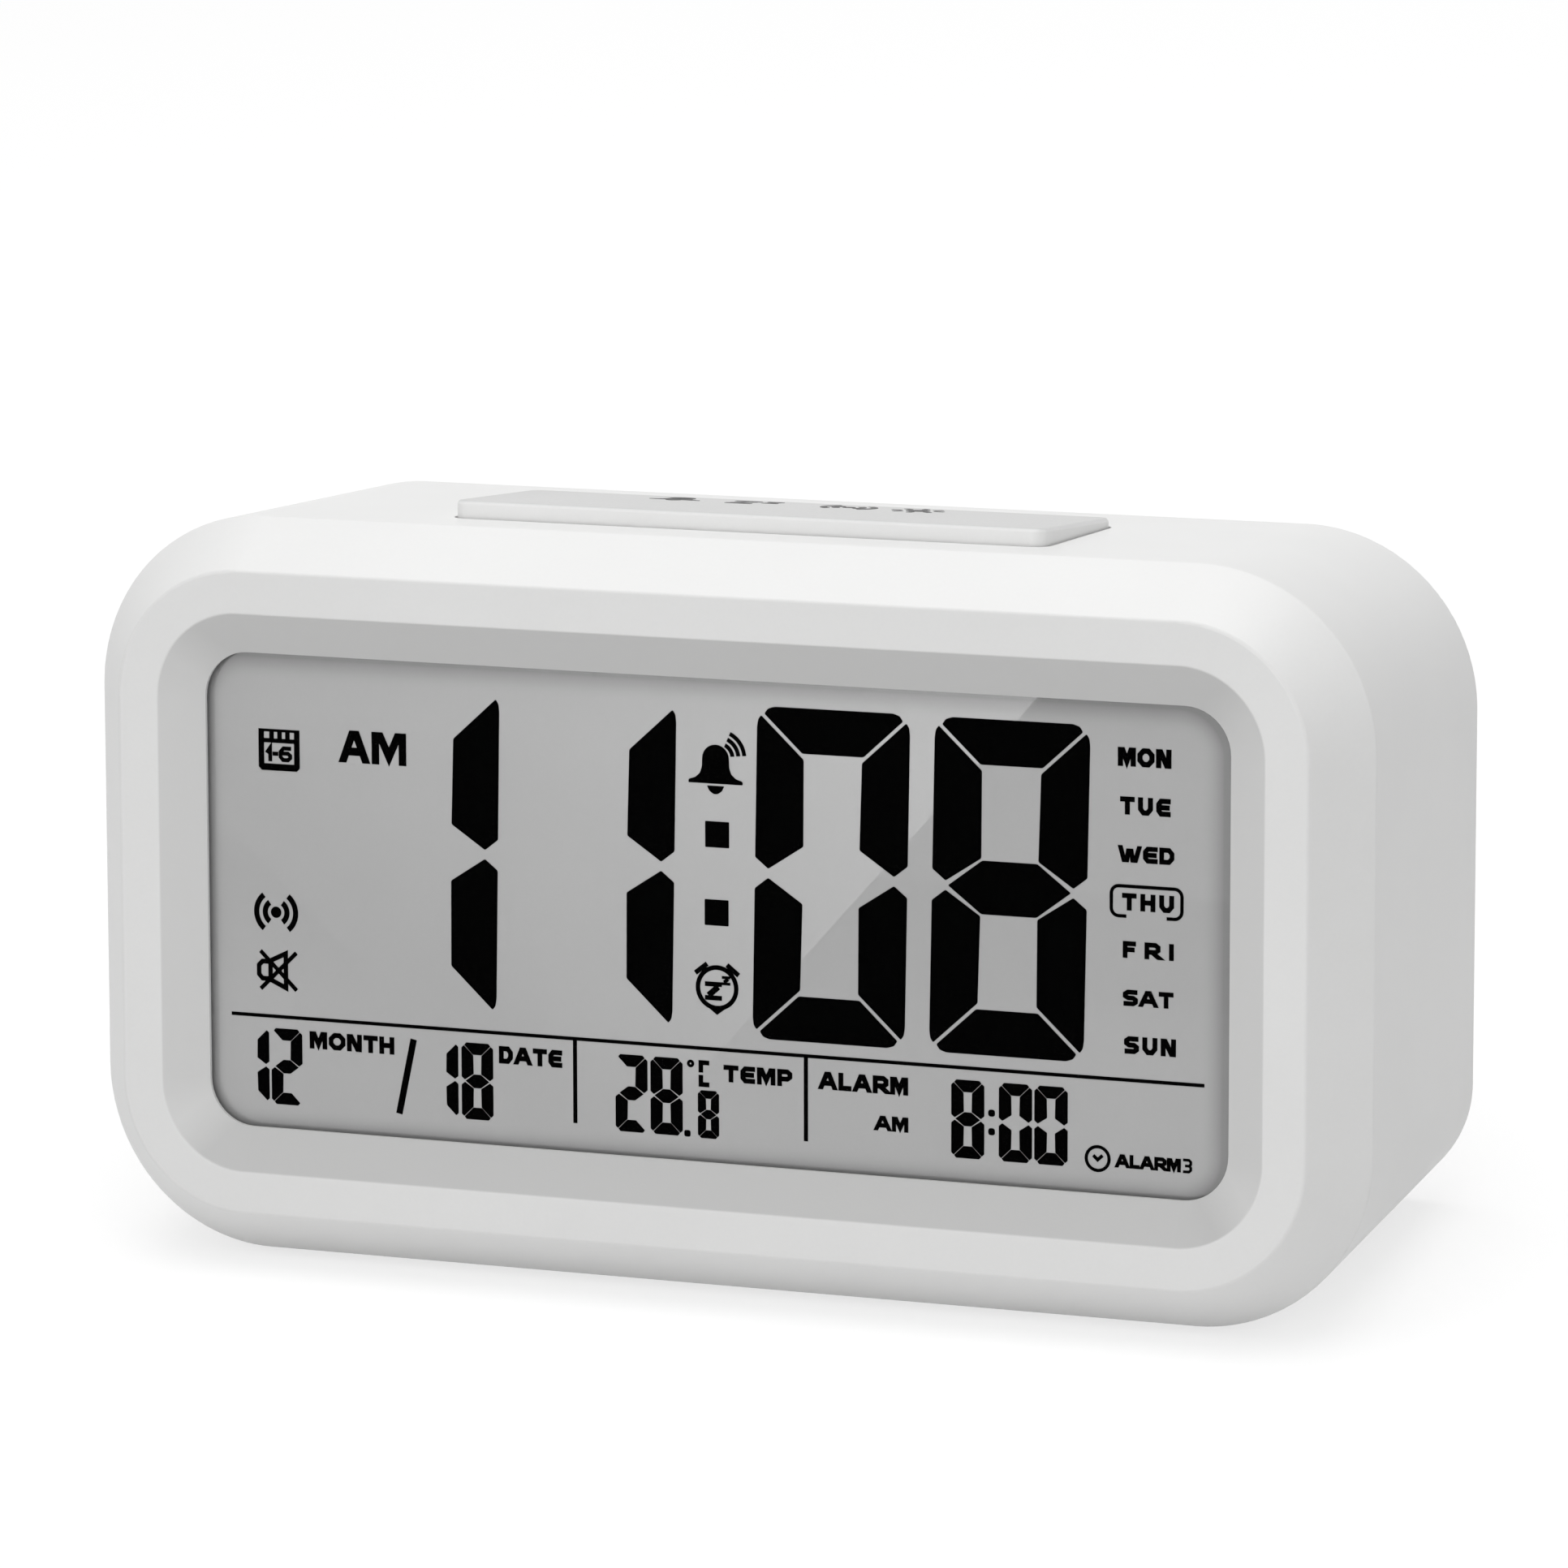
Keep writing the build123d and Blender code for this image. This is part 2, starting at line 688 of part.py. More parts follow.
with BuildPart() as backlight_lamps:
    lamp_spots = [(lamp_x, side * lamp_spread / 2) for side in (-1, 1)]
    blocks(at_depth(board_front), lamp_spots, lamp_width, lamp_length, lamp_height)
write(backlight_lamps, "backlight_lamps")

# Display frame: walls round the stack, clamped between the front frame and the board
with BuildPart() as display_frame:
    with BuildSketch(at_depth(lens_front)):
        with Locations((0, -contact_ledge / 2)):
            Rectangle(pocket_width + 2 * display_frame_wall, pocket_height + 2 * display_frame_wall)
            Rectangle(pocket_width, pocket_height, mode=Mode.SUBTRACT)
    extrude(amount=lens_front - board_front)
write(display_frame, "display_frame")

# Contact strip: rubber bar that joins the glass's ledge to the board
with BuildPart() as contact_strip:
    strip_y = -(glass_height + contact_ledge) / 2
    blocks(at_depth(rear_glass_front), [(0, strip_y)], strip_length, strip_width,
           rear_glass_front - board_front)
write(contact_strip, "contact_strip")

# Main board and its screws
with BuildPart() as main_board:
    with BuildSketch(at_depth(board_front)):
        with Locations((0, board_middle)):
            RectangleRounded(board_width, board_height, board_corner)
        with Locations(*board_screw_spots):
            Circle(small_screw / 2 + screw_fit, mode=Mode.SUBTRACT)
    extrude(amount=-board_thickness)
write(main_board, "main_board")

with BuildPart() as board_screws:
    screws(facing_back(board_back), turned(board_screw_spots), small_screw, small_screw_length,
           small_screw_head, small_screw_head_height)
write(board_screws, "board_screws")


def chip(spot):
    """Add a sealed chip, a low dome of resin on the back of the main board."""
    pegs(at_depth(board_back), [spot], chip_diameter, -chip_height)
    fillet(faces().sort_by(DEPTH)[-1].edges(), chip_round)


with BuildPart() as clock_chip:
    chip(clock_chip_spot)
write(clock_chip, "clock_chip")

with BuildPart() as voice_chip:
    chip(voice_chip_spot)
write(voice_chip, "voice_chip")

with BuildPart() as amplifier_chip:
    blocks(at_depth(board_back), [amplifier_spot], amplifier_length, amplifier_width, -amplifier_height)
write(amplifier_chip, "amplifier_chip")

with BuildPart() as crystal:
    crystal_x, crystal_y = crystal_spot
    with BuildSketch(at_height(crystal_y)):
        with Locations((crystal_x, board_back + crystal_diameter / 2 + crystal_lift)):
            Circle(crystal_diameter / 2)
    extrude(amount=crystal_length)
write(crystal, "crystal")

with BuildPart() as capacitors:
    pegs(at_depth(board_back), capacitor_spots, capacitor_diameter, -capacitor_height)
    fillet(faces().filter_by(DEPTH).group_by(DEPTH)[-1].edges(), capacitor_round)
write(capacitors, "capacitors")

with BuildPart() as thermistor:
    for side in (-1, 1):
        leg_x = air_slot_spot[0] + side * (thermistor_leg + thermistor_leg_gap) / 2
        pegs(at_depth(board_back), [(leg_x, air_slot_height)], thermistor_leg, -thermistor_leg_length)
    bead_depth = board_back + thermistor_leg_length
    with BuildSketch(at_depth(bead_depth)):
        with Locations(air_slot_spot):
            Circle(thermistor_bead / 2)
    extrude(amount=-thermistor_bead)
    fillet(faces().sort_by(DEPTH)[-1].edges(), thermistor_round)
write(thermistor, "thermistor")

# Bar board, hung under the top on two standoffs
with BuildPart() as bar_board:
    with BuildSketch(at_height(bar_board_top)):
        with Locations((0, bar_middle)):
            Rectangle(bar_board_length, bar_board_width)
        with Locations(*bar_standoff_spots):
            Circle(small_screw / 2 + screw_fit, mode=Mode.SUBTRACT)
    extrude(amount=-board_thickness)
write(bar_board, "bar_board")

with BuildPart() as bar_board_screws:
    below = at_height(bar_board_top - board_thickness)
    seat = Plane(origin=below.origin, x_dir=ACROSS, z_dir=-below.z_dir)
    screws(seat, turned(bar_standoff_spots), small_screw, small_screw_length, small_screw_head,
           small_screw_head_height)
write(bar_board_screws, "bar_board_screws")

with BuildPart() as bar_switches:
    blocks(at_height(bar_board_top), bar_post_spots, switch_size, switch_size, switch_height)
    pegs(at_height(bar_switch_top), bar_post_spots, plunger_diameter + 2 * plunger_fit,
         -(plunger_sunk + plunger_room), Mode.SUBTRACT)
write(bar_switches, "bar_switches")

with BuildPart() as bar_plungers:
    pegs(at_height(bar_plunger_top), bar_post_spots, plunger_diameter, -(plunger_proud + plunger_sunk))
write(bar_plungers, "bar_plungers")

# Top bar: hollow wedge cap with a flange that keeps it under the top wall
with BuildPart() as top_bar:
    with BuildSketch(at_side(-bar_length / 2)):
        with BuildLine():
            Polyline(
                (bar_front, bar_flange_bottom),
                (bar_front, top_at(bar_front) + bar_proud_front),
                (bar_back, top_at(bar_back) + bar_proud_back),
                (bar_back, bar_flange_bottom),
                close=True,
            )
        make_face()
    extrude(amount=bar_length)
    fillet(edges().filter_by(HEIGHT), bar_corner_round)
    fillet(faces().sort_by(HEIGHT)[-1].edges(), bar_edge_round)
    with BuildSketch(at_height(bar_flange_top)):
        with Locations((0, bar_middle)):
            RectangleRounded(bar_length + 2 * bar_flange, bar_depth + 2 * bar_flange,
                             bar_corner_round + bar_flange)
    extrude(amount=-bar_flange_thickness)
    blocks(at_height(bar_flange_bottom), [(0, bar_middle)], bar_length - 2 * bar_skin,
           bar_depth - 2 * bar_skin, bar_roof - bar_flange_bottom, Mode.SUBTRACT)
    pegs(at_height(bar_plunger_top), bar_post_spots, bar_post_diameter, bar_roof - bar_plunger_top)
write(top_bar, "top_bar")

# Key board, on two standoffs behind the keys
with BuildPart() as key_board:
    with BuildSketch(at_depth(key_board_front)):
        with Locations((0, key_row)):
            Rectangle(key_board_length, key_board_width)
        with Locations(*key_standoff_spots):
            Circle(small_screw / 2 + screw_fit, mode=Mode.SUBTRACT)
    extrude(amount=-board_thickness)
write(key_board, "key_board")

with BuildPart() as key_board_screws:
    screws(at_depth(key_board_front), key_standoff_spots, small_screw, small_screw_length,
           small_screw_head, small_screw_head_height)
write(key_board_screws, "key_board_screws")

with BuildPart() as key_switches:
    blocks(at_depth(key_board_back), key_spots, switch_size, switch_size, -switch_height)
    pegs(at_depth(key_switch_top), key_spots, plunger_diameter + 2 * plunger_fit,
         plunger_sunk + plunger_room, Mode.SUBTRACT)
write(key_switches, "key_switches")

# Keys: each a cap through the back wall, with a flange and stem, and the plunger it pushes
for key_name, key_spot in zip(key_names, key_spots):
    with BuildPart() as key:
        with BuildSketch(at_depth(case_depth + key_proud)):
            with Locations(key_spot):
                SlotOverall(key_length, key_width)
        extrude(amount=case_depth + key_proud - key_flange_front)
        fillet(faces().sort_by(DEPTH)[-1].edges(), key_edge_round)
        with BuildSketch(at_depth(key_flange_back)):
            with Locations(key_spot):
                SlotOverall(key_length + 2 * key_flange, key_width + 2 * key_flange)
        extrude(amount=key_flange_thickness)
        pegs(at_depth(key_flange_front), [key_spot], key_stem_diameter, key_stem_length)
    write(key, key_name)

    with BuildPart() as key_plunger:
        pegs(at_depth(key_plunger_top), [key_spot], plunger_diameter, plunger_proud + plunger_sunk)
    write(key_plunger, f"{key_name}_plunger")

# Speaker: steel basket, magnet on its back, cone in its mouth
with BuildPart() as speaker_basket:
    mouth = speaker_diameter / 2 - speaker_flange
    heel = speaker_back_diameter / 2
    with BuildSketch(SPEAKER_SECTION):
        with BuildLine():
            Polyline(
                (0, speaker_plate_front),
                (heel, speaker_plate_front),
                (mouth + speaker_basket_wall, speaker_flange_front),
                (speaker_diameter / 2, speaker_flange_front),
                (speaker_diameter / 2, speaker_seat),
                (mouth, speaker_seat),
                (heel - speaker_basket_wall, speaker_plate_back),
                (0, speaker_plate_back),
                close=True,
            )
        make_face()
    revolve(axis=SPEAKER_AXIS)
    with BuildSketch(at_depth(speaker_seat)):
        with Locations(speaker_spot):
            with PolarLocations(speaker_tab_circle - speaker_flange / 2, 1, speaker_tab_angle):
                Rectangle(speaker_tab_length + speaker_flange, speaker_tab_width)
            Circle(mouth + speaker_basket_wall, mode=Mode.SUBTRACT)
    extrude(amount=speaker_flange_thickness)
write(speaker_basket, "speaker_basket")

with BuildPart() as speaker_magnet:
    pegs(at_depth(speaker_plate_front), [speaker_spot], speaker_magnet_diameter,
         speaker_magnet_thickness)
write(speaker_magnet, "speaker_magnet")

with BuildPart() as speaker_cone:
    cone_rim_radius = speaker_diameter / 2 - speaker_flange + cone_rim
    cone_mouth = speaker_diameter / 2 - speaker_flange - cone_clear
    cap_radius = dust_cap_diameter / 2
    cone_foot = speaker_seat - cone_depth
    with BuildSketch(SPEAKER_SECTION):
        with BuildLine():
            Polyline(
                (0, cone_foot + dust_cap_rise),
                (cap_radius, cone_foot),
                (cone_mouth, speaker_seat),
                (cone_rim_radius, speaker_seat),
                (cone_rim_radius, speaker_seat + cone_thickness),
                (cone_mouth, speaker_seat + cone_thickness),
                (cap_radius, cone_foot + cone_thickness),
                (0, cone_foot + dust_cap_rise + cone_thickness),
                close=True,
            )
        make_face()
    revolve(axis=SPEAKER_AXIS)
write(speaker_cone, "speaker_cone")

with BuildPart() as speaker_screws:
    screws(at_depth(speaker_flange_front), speaker_screw_spots, speaker_screw, speaker_screw_length,
           speaker_screw_head, speaker_screw_head_height)
write(speaker_screws, "speaker_screws")

# Cells: they lie across the tub, turned end for end in a row, between a plate and a bowed leaf
positive_ends = []
negative_ends = []
for index, cell_name in enumerate(cell_names):
    inward = 1 if index % 2 == 0 else -1
    near_wall = tub_left if inward > 0 else tub_right
    far_wall = tub_right if inward > 0 else tub_left
    positive_ends.append((near_wall, inward, cell_heights[index]))
    negative_ends.append((far_wall, -inward, cell_heights[index]))
    nub_end = near_wall + inward * (contact_thickness + cell_end_gap)
    shoulder = nub_end + inward * cell_nub_length
    cell_spot = (cell_depth, cell_heights[index])
    with BuildPart() as cell:
        pegs(at_side(shoulder), [cell_spot], cell_diameter, inward * (cell_length - cell_nub_length))
        fillet(edges().filter_by(GeomType.CIRCLE), cell_edge_round)
        pegs(at_side(nub_end), [cell_spot], cell_nub_diameter, inward * cell_nub_length)
    write(cell, cell_name)


def contact_plate(wall_x, inward, height):
    """Add a contact plate against an end wall of the tub."""
    middle = contact_low + contact_height / 2
    blocks(at_side(wall_x), [(middle, height)], contact_height, contact_width, inward * contact_thickness)


def contact_tail(wall_x, inward, height):
    """Add the tail of an end contact, through the tub's floor to its lead."""
    tail_end = tub_floor_front - tail_length
    middle = (tail_end + contact_low) / 2
    blocks(at_side(wall_x), [(middle, height)], contact_low - tail_end, tail_width,
           inward * contact_thickness)


with BuildPart() as positive_contacts:
    for end in positive_ends:
        contact_plate(*end)
    contact_tail(*positive_ends[0])
write(positive_contacts, "positive_contacts")

with BuildPart() as negative_contacts:
    for wall_x, inward, height in negative_ends:
        contact_plate(wall_x, inward, height)
        root = wall_x + inward * contact_thickness
        tip = wall_x + inward * leaf_reach
        inner_tip = tip - inward * leaf_thickness
        leaf_low = contact_low + leaf_thickness
        leaf_high = contact_low + contact_height - leaf_thickness
        leaf_middle = (leaf_low + leaf_high) / 2
        with BuildSketch(at_height(height - contact_width / 2)):
            with BuildLine():
                ThreePointArc((root, leaf_low), (tip, leaf_middle), (root, leaf_high))
                Line((root, leaf_high), (root, leaf_high - 2 * leaf_thickness))
                ThreePointArc((root, leaf_high - 2 * leaf_thickness), (inner_tip, leaf_middle),
                              (root, leaf_low + 2 * leaf_thickness))
                Line((root, leaf_low + 2 * leaf_thickness), (root, leaf_low))
            make_face()
        extrude(amount=contact_width)
    contact_tail(*negative_ends[-1])
write(negative_contacts, "negative_contacts")

# Battery door: flush lid with two tongues below, a latch rib above and finger grooves
with BuildPart() as battery_door:
    with BuildSketch(at_depth(door_inside)):
        with Locations((tub_x, tub_y)):
            RectangleRounded(door_width, door_height, door_corner)
    extrude(amount=-door_thickness)
    with BuildSketch(at_depth(case_depth)):
        with Locations((tub_x, tub_top - grip_drop)):
            with GridLocations(1, grip_pitch, 1, grip_count):
                SlotOverall(grip_length, grip_width)
    extrude(amount=grip_depth, mode=Mode.SUBTRACT)
    blocks(at_depth(door_inside), [(x, door_low + tongue_root / 2) for x in tongue_spots],
           tongue_width, tongue_root, tongue_clear + tongue_thickness)
    blocks(at_depth(door_inside - tongue_clear), [(x, door_low - tongue_reach / 2) for x in tongue_spots],
           tongue_width, tongue_reach, tongue_thickness)
    blocks(at_depth(door_inside), [(tub_x, tub_top - latch_rib_gap - latch_rib_thickness / 2)],
           latch_rib_length, latch_rib_thickness, latch_rib_height)
write(battery_door, "battery_door")

# Battery leads, from the end contacts' tails to the main board
for lead_name, (wall_x, inward, height) in (
    ("battery_lead_red", positive_ends[0]),
    ("battery_lead_black", negative_ends[-1]),
):
    with BuildPart() as battery_lead:
        start_x = wall_x + inward * contact_thickness / 2
        landing_x = start_x - inward * lead_jog
        tail_end = tub_floor_front - tail_length
        lead(at_height(height), [
            (start_x, tail_end),
            (start_x, tail_end - lead_rise),
            (landing_x, tail_end - 2 * lead_rise),
            (landing_x, board_back),
        ], lead_diameter, lead_bend)
    write(battery_lead, lead_name)

# Speaker leads, side by side from the basket's tab to the main board
with BuildPart() as speaker_leads:
    tab_turn = radians(speaker_tab_angle)
    for side in (-1, 1):
        shift = side * speaker_lead_pitch / 2
        tab_x = speaker_x + speaker_tab_circle * cos(tab_turn) - shift * sin(tab_turn)
        tab_y = speaker_height + speaker_tab_circle * sin(tab_turn) + shift * cos(tab_turn)
        lead(at_side(tab_x), [
            (speaker_flange_front, tab_y),
            (speaker_flange_front - lead_rise, tab_y),
            (speaker_flange_front - 2 * lead_rise, tab_y + speaker_lead_jog),
            (board_back, tab_y + speaker_lead_jog),
        ], lead_diameter, lead_bend)
write(speaker_leads, "speaker_leads")

# Ribbons, from the key board and the bar board to the main board
with BuildPart() as key_ribbon:
    ribbon_x, ribbon_offset = key_ribbon_spot
    ribbon_y = key_row + ribbon_offset
    lead(at_side(ribbon_x), [
        (key_board_front, ribbon_y),
        (key_board_front - key_ribbon_rise, ribbon_y),
        (key_board_front - 2 * key_ribbon_rise, ribbon_y + key_ribbon_jog),
        (board_back, ribbon_y + key_ribbon_jog),
    ], ribbon_width, ribbon_bend, ribbon_thickness)
write(key_ribbon, "key_ribbon")

with BuildPart() as bar_ribbon:
    ribbon_top = bar_board_top - board_thickness
    lead(at_side(0), [
        (bar_middle, ribbon_top),
        (bar_middle, ribbon_top - bar_ribbon_drop),
        (board_back, ribbon_top - bar_ribbon_drop),
    ], ribbon_width, ribbon_bend, ribbon_thickness)
write(bar_ribbon, "bar_ribbon")

# Case screws, at the bottom of their wells
with BuildPart() as case_screws:
    screws(facing_back(case_screw_seat), turned(post_spots), case_screw, case_screw_length,
           case_screw_head, case_screw_head_height)
write(case_screws, "case_screws")

# Feet: rubber pads sunk in the level base
for foot_name, foot_spot in zip(foot_names, foot_spots):
    with BuildPart() as foot:
        pegs(Plane.XY, [foot_spot], foot_diameter, foot_proud + foot_recess)
        fillet(edges().group_by(Axis.Z)[0], foot_round)
    write(foot, foot_name)
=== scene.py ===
import math

import bmesh
import bpy
from mathutils import Matrix, Vector


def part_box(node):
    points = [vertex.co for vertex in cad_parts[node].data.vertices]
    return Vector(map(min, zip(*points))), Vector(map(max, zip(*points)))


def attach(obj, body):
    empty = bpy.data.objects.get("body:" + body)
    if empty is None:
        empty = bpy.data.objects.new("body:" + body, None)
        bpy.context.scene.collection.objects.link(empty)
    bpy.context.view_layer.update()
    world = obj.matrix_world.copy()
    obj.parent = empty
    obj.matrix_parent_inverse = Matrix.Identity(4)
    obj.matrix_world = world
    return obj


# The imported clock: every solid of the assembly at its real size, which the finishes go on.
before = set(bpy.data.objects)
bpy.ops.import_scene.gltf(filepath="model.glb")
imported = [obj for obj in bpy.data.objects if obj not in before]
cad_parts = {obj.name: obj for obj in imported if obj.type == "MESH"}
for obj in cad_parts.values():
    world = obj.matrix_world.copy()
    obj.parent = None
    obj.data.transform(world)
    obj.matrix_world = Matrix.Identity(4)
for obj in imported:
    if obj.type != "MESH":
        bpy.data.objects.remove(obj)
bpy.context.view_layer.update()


# Front frame: one white styrene moulding with a spark-eroded satin grain.
# Its window bevel carries painted shade, a tone greyer, and it is screwed to the housing from behind.
class Wire:
    """One output of a material's nodes, with arithmetic that adds Math nodes."""

    def __init__(self, tree, socket=None):
        self.tree = tree
        self.socket = socket

    def feed(self, node, inputs):
        """Set or link the sockets of a node."""
        for name, value in inputs.items():
            if isinstance(value, Wire):
                self.tree.links.new(value.socket, node.inputs[name])
            else:
                node.inputs[name].default_value = value

    def node(self, kind, settings=None, inputs=None, output=0):
        """Add a node, its settings before its sockets, and give one of its outputs."""
        made = self.tree.nodes.new(kind)
        for name, value in (settings or {}).items():
            setattr(made, name, value)
        self.feed(made, inputs or {})
        return Wire(self.tree, made.outputs[output])

    def math(self, operation, *values):
        """Add a Math node that takes some values."""
        return self.node("ShaderNodeMath", {"operation": operation}, dict(enumerate(values)))

    def __add__(self, other):
        return self.math("ADD", self, other)

    def __sub__(self, other):
        return self.math("SUBTRACT", self, other)

    def __rsub__(self, other):
        return self.math("SUBTRACT", other, self)

    def __mul__(self, other):
        return self.math("MULTIPLY", self, other)

    def __abs__(self):
        return self.math("ABSOLUTE", self)

    def clamped(self):
        """The value, held between 0 and 1."""
        return self.node("ShaderNodeClamp", inputs={"Value": self})

    __radd__ = __add__
    __rmul__ = __mul__


def blank(name):
    """Start a material, and give it with the wires of its nodes."""
    material = bpy.data.materials.new(name)
    material.use_nodes = True
    return material, Wire(material.node_tree)


def begin(name, **constants):
    """Start a material: its shader with the sockets that are the same all over, and its wires."""
    material, wire = blank(name)
    shader = wire.tree.nodes["Principled BSDF"]
    wire.feed(shader, {socket.replace("_", " "): value for socket, value in constants.items()})
    return material, shader, wire


def place_of(wire):
    """A point's place, in metres of the clock's own frame."""
    return wire.node("ShaderNodeTexCoord", output="Object")


def place_along(wire, axis):
    """A point's place along one axis."""
    return wire.node("ShaderNodeSeparateXYZ", inputs={"Vector": place_of(wire)}, output=axis)


def noise(wire, scale, detail=2.0):
    """Even noise through the whole piece, scale in lumps per metre."""
    return wire.node("ShaderNodeTexNoise", inputs={
        "Vector": place_of(wire), "Scale": scale, "Detail": detail})


def blend(wire, share, low, high):
    """A colour that runs from low to high with a share from 0 to 1."""
    return wire.node("ShaderNodeMix", {"data_type": "RGBA"}, {0: share, 6: low, 7: high}, output=2)


def bump(wire, height, relief):
    """A normal that lifts the surface by relief metres where the height is 1."""
    return wire.node("ShaderNodeBump", inputs={"Strength": 1.0, "Distance": relief, "Height": height})


def grey(tone):
    """A neutral colour."""
    return (tone, tone, tone, 1.0)


def tinted(colour, share):
    """A colour made darker or lighter by a share."""
    return (*(part * share for part in colour[:3]), 1.0)


def flow_clouds(wire):
    """The faint clouds that the plastic's flow leaves in a moulding."""
    return noise(wire, 55.0, 4.0)


def moulded(name, colour, roughness=0.42, grain=2600.0, relief=7e-6, painted_shade_band=None):
    """Moulded plastic: fine eroded grain, faint clouds from the flow, and a band of painted shade if asked.
    """
    material, shader, wire = begin(name, IOR=1.5)
    pits = noise(wire, grain)
    mottle = flow_clouds(wire) * 0.7 + pits * 0.3
    body = blend(wire, mottle, tinted(colour, 0.95), tinted(colour, 1.03))
    # The band lays painted shade on the colour: a darker tone of the white where its mask is 1.
    if painted_shade_band:
        share, tone = painted_shade_band
        body = blend(wire, share(wire), body, blend(wire, tone(wire), grey(0.0), colour))
    wire.feed(shader, {
        "Base Color": body,
        "Roughness": roughness + (pits - 0.5) * 0.16,
        "Normal": bump(wire, pits, relief),
    })
    return material


def dress(material, *names):
    """Give CAD pieces their finish."""
    for name in names:
        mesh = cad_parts[name].data
        mesh.materials.clear()
        mesh.materials.append(material)


lean = math.radians(10)
face_middle = Vector((0, -0.0222237, 0.0388590))
bevel_half_width = 0.0584
bevel_half_height = 0.0284
bevel_corner = 0.0089
bevel_edge_blur = 0.0002
# Painted shade on the window's bevel: its white is darkest above and below the window, lighter beside it.
bevel_side_painted_tone = 0.825
bevel_head_painted_tone = 0.72
bevel_foot_painted_tone = 0.66
bevel_turn = 0.006
case_white = (0.82, 0.82, 0.815, 1.0)


def on_face(wire):
    """How far across the face and up it a point lies, from the face's middle."""
    x, y, z = (place_along(wire, axis) for axis in "XYZ")
    return x, (y - face_middle.y) * math.sin(lean) + (z - face_middle.z) * math.cos(lean)


def outline_distance(wire, half_width, half_height, corner, middle=(0.0, 0.0)):
    """How far a point of the face lies outside a rounded outline, negative inside it."""
    x, up = on_face(wire)
    past_x = abs(x - middle[0]) - (half_width - corner)
    past_y = abs(up - middle[1]) - (half_height - corner)
    corner_x = wire.math("MAXIMUM", past_x, 0.0)
    corner_y = wire.math("MAXIMUM", past_y, 0.0)
    past_corner = wire.math("SQRT", corner_x * corner_x + corner_y * corner_y)
    past_straight = wire.math("MINIMUM", wire.math("MAXIMUM", past_x, past_y), 0.0)
    return past_corner + past_straight - corner


def inside_ring(wire):
    """1 on the bevel inside the flat ring and 0 outside it."""
    past_ring = outline_distance(wire, bevel_half_width, bevel_half_height, bevel_corner)
    return (0.5 - past_ring * (1 / bevel_edge_blur)).clamped()


def bevel_painted_shade(wire):
    """The share of the white on the bevel, as painted shade: least along its foot and head, more on its
    sides.
    """
    x, up = on_face(wire)
    past_turn = (abs(up) - bevel_half_height) - (abs(x) - bevel_half_width)
    level = (0.5 + past_turn * (1 / bevel_turn)).clamped()
    above = wire.math("GREATER_THAN", up, 0.0)
    level_tone = bevel_foot_painted_tone + above * (bevel_head_painted_tone - bevel_foot_painted_tone)
    return bevel_side_painted_tone + level * (level_tone - bevel_side_painted_tone)


dress(moulded("frame_white", case_white, painted_shade_band=(inside_ring, bevel_painted_shade)), "front_case")

# Rear housing: the tapering shell, moulded in the same white styrene with its tub, posts and vents.
# It takes the frame's spigot all round, and four screws from its deep wells draw the two together.
dress(moulded("housing_white", case_white), "rear_housing")


# Feet: four round pads of black rubber, die-cut from sheet.
# Each is glued in a recess of the level base and stands a little proud of it.
def rubber(name, colour, roughness=0.8):
    """Rubber or soft sheath: dull, with a dusty bloom and a fine tooth."""
    material, shader, wire = begin(name, IOR=1.45)
    tooth = noise(wire, 3500.0)
    bloom = noise(wire, 220.0, 5.0)
    wire.feed(shader, {
        "Base Color": blend(wire, bloom, tinted(colour, 0.75), tinted(colour, 1.25)),
        "Roughness": roughness + (tooth - 0.5) * 0.2,
        "Normal": bump(wire, tooth, 9e-6),
    })
    return material


dress(rubber("foot_rubber", grey(0.05)), *(f"foot_{end}_{side}" for end in ("front", "back")
                                           for side in ("left", "right")))

# Display lens: a clear acrylic sheet, coated against glare and taped in behind the window's lip.
# Nearly all light passes straight through it, and only a grazing look sees the room in it.
lens_coating_ior = 1.05
lens_material, lens_gloss, lens_wire = begin("lens_clear", Roughness=0.04, IOR=1.45)
lens_smears = noise(lens_wire, 130.0, 4.0)
lens_wire.feed(lens_gloss, {"Base Color": blend(lens_wire, lens_smears, grey(0.9), grey(1.0))})
lens_mirror = lens_wire.node("ShaderNodeFresnel", inputs={"IOR": lens_coating_ior})
lens_open = lens_wire.node("ShaderNodeBsdfTransparent")
lens_sheet = lens_wire.node("ShaderNodeMixShader", inputs={
    0: lens_mirror, 1: lens_open, 2: Wire(lens_wire.tree, lens_gloss.outputs[0])})
lens_wire.feed(lens_wire.tree.nodes["Material Output"], {"Surface": lens_sheet})
dress(lens_material, "display_lens")

# Lens tape: a frame of thin grey foam, sticky on both sides, between the lens and the glass.
# It is die-cut in one piece and keeps dust off the display.
dress(rubber("tape_grey", grey(0.50)), "lens_tape")

# Display glass: two plates with liquid crystal between them and grey polariser film on the front.
# The film is smooth, so it holds the room's reflection behind the dark segments, and its colour
# carries painted shade along the window's edge, where the frame shades the reflector behind it.
window_half_width = 0.0542
window_half_height = 0.0242
window_corner = 0.0047
film_tone = 0.42
film_edge_shade_share = 0.50
film_edge_reach = 0.0025
film_painted_shade_middle = (-0.0010, -0.0005)
film_material, film, film_wire = begin("polariser_grey", Coat_Weight=1.0, Coat_Roughness=0.008, Coat_IOR=1.75)
film_grain = noise(film_wire, 5200.0)
film_mottle = noise(film_wire, 90.0, 5.0) * 0.6 + film_grain * 0.4
film_colour = blend(film_wire, film_mottle, grey(film_tone * 0.94), grey(film_tone * 1.06))
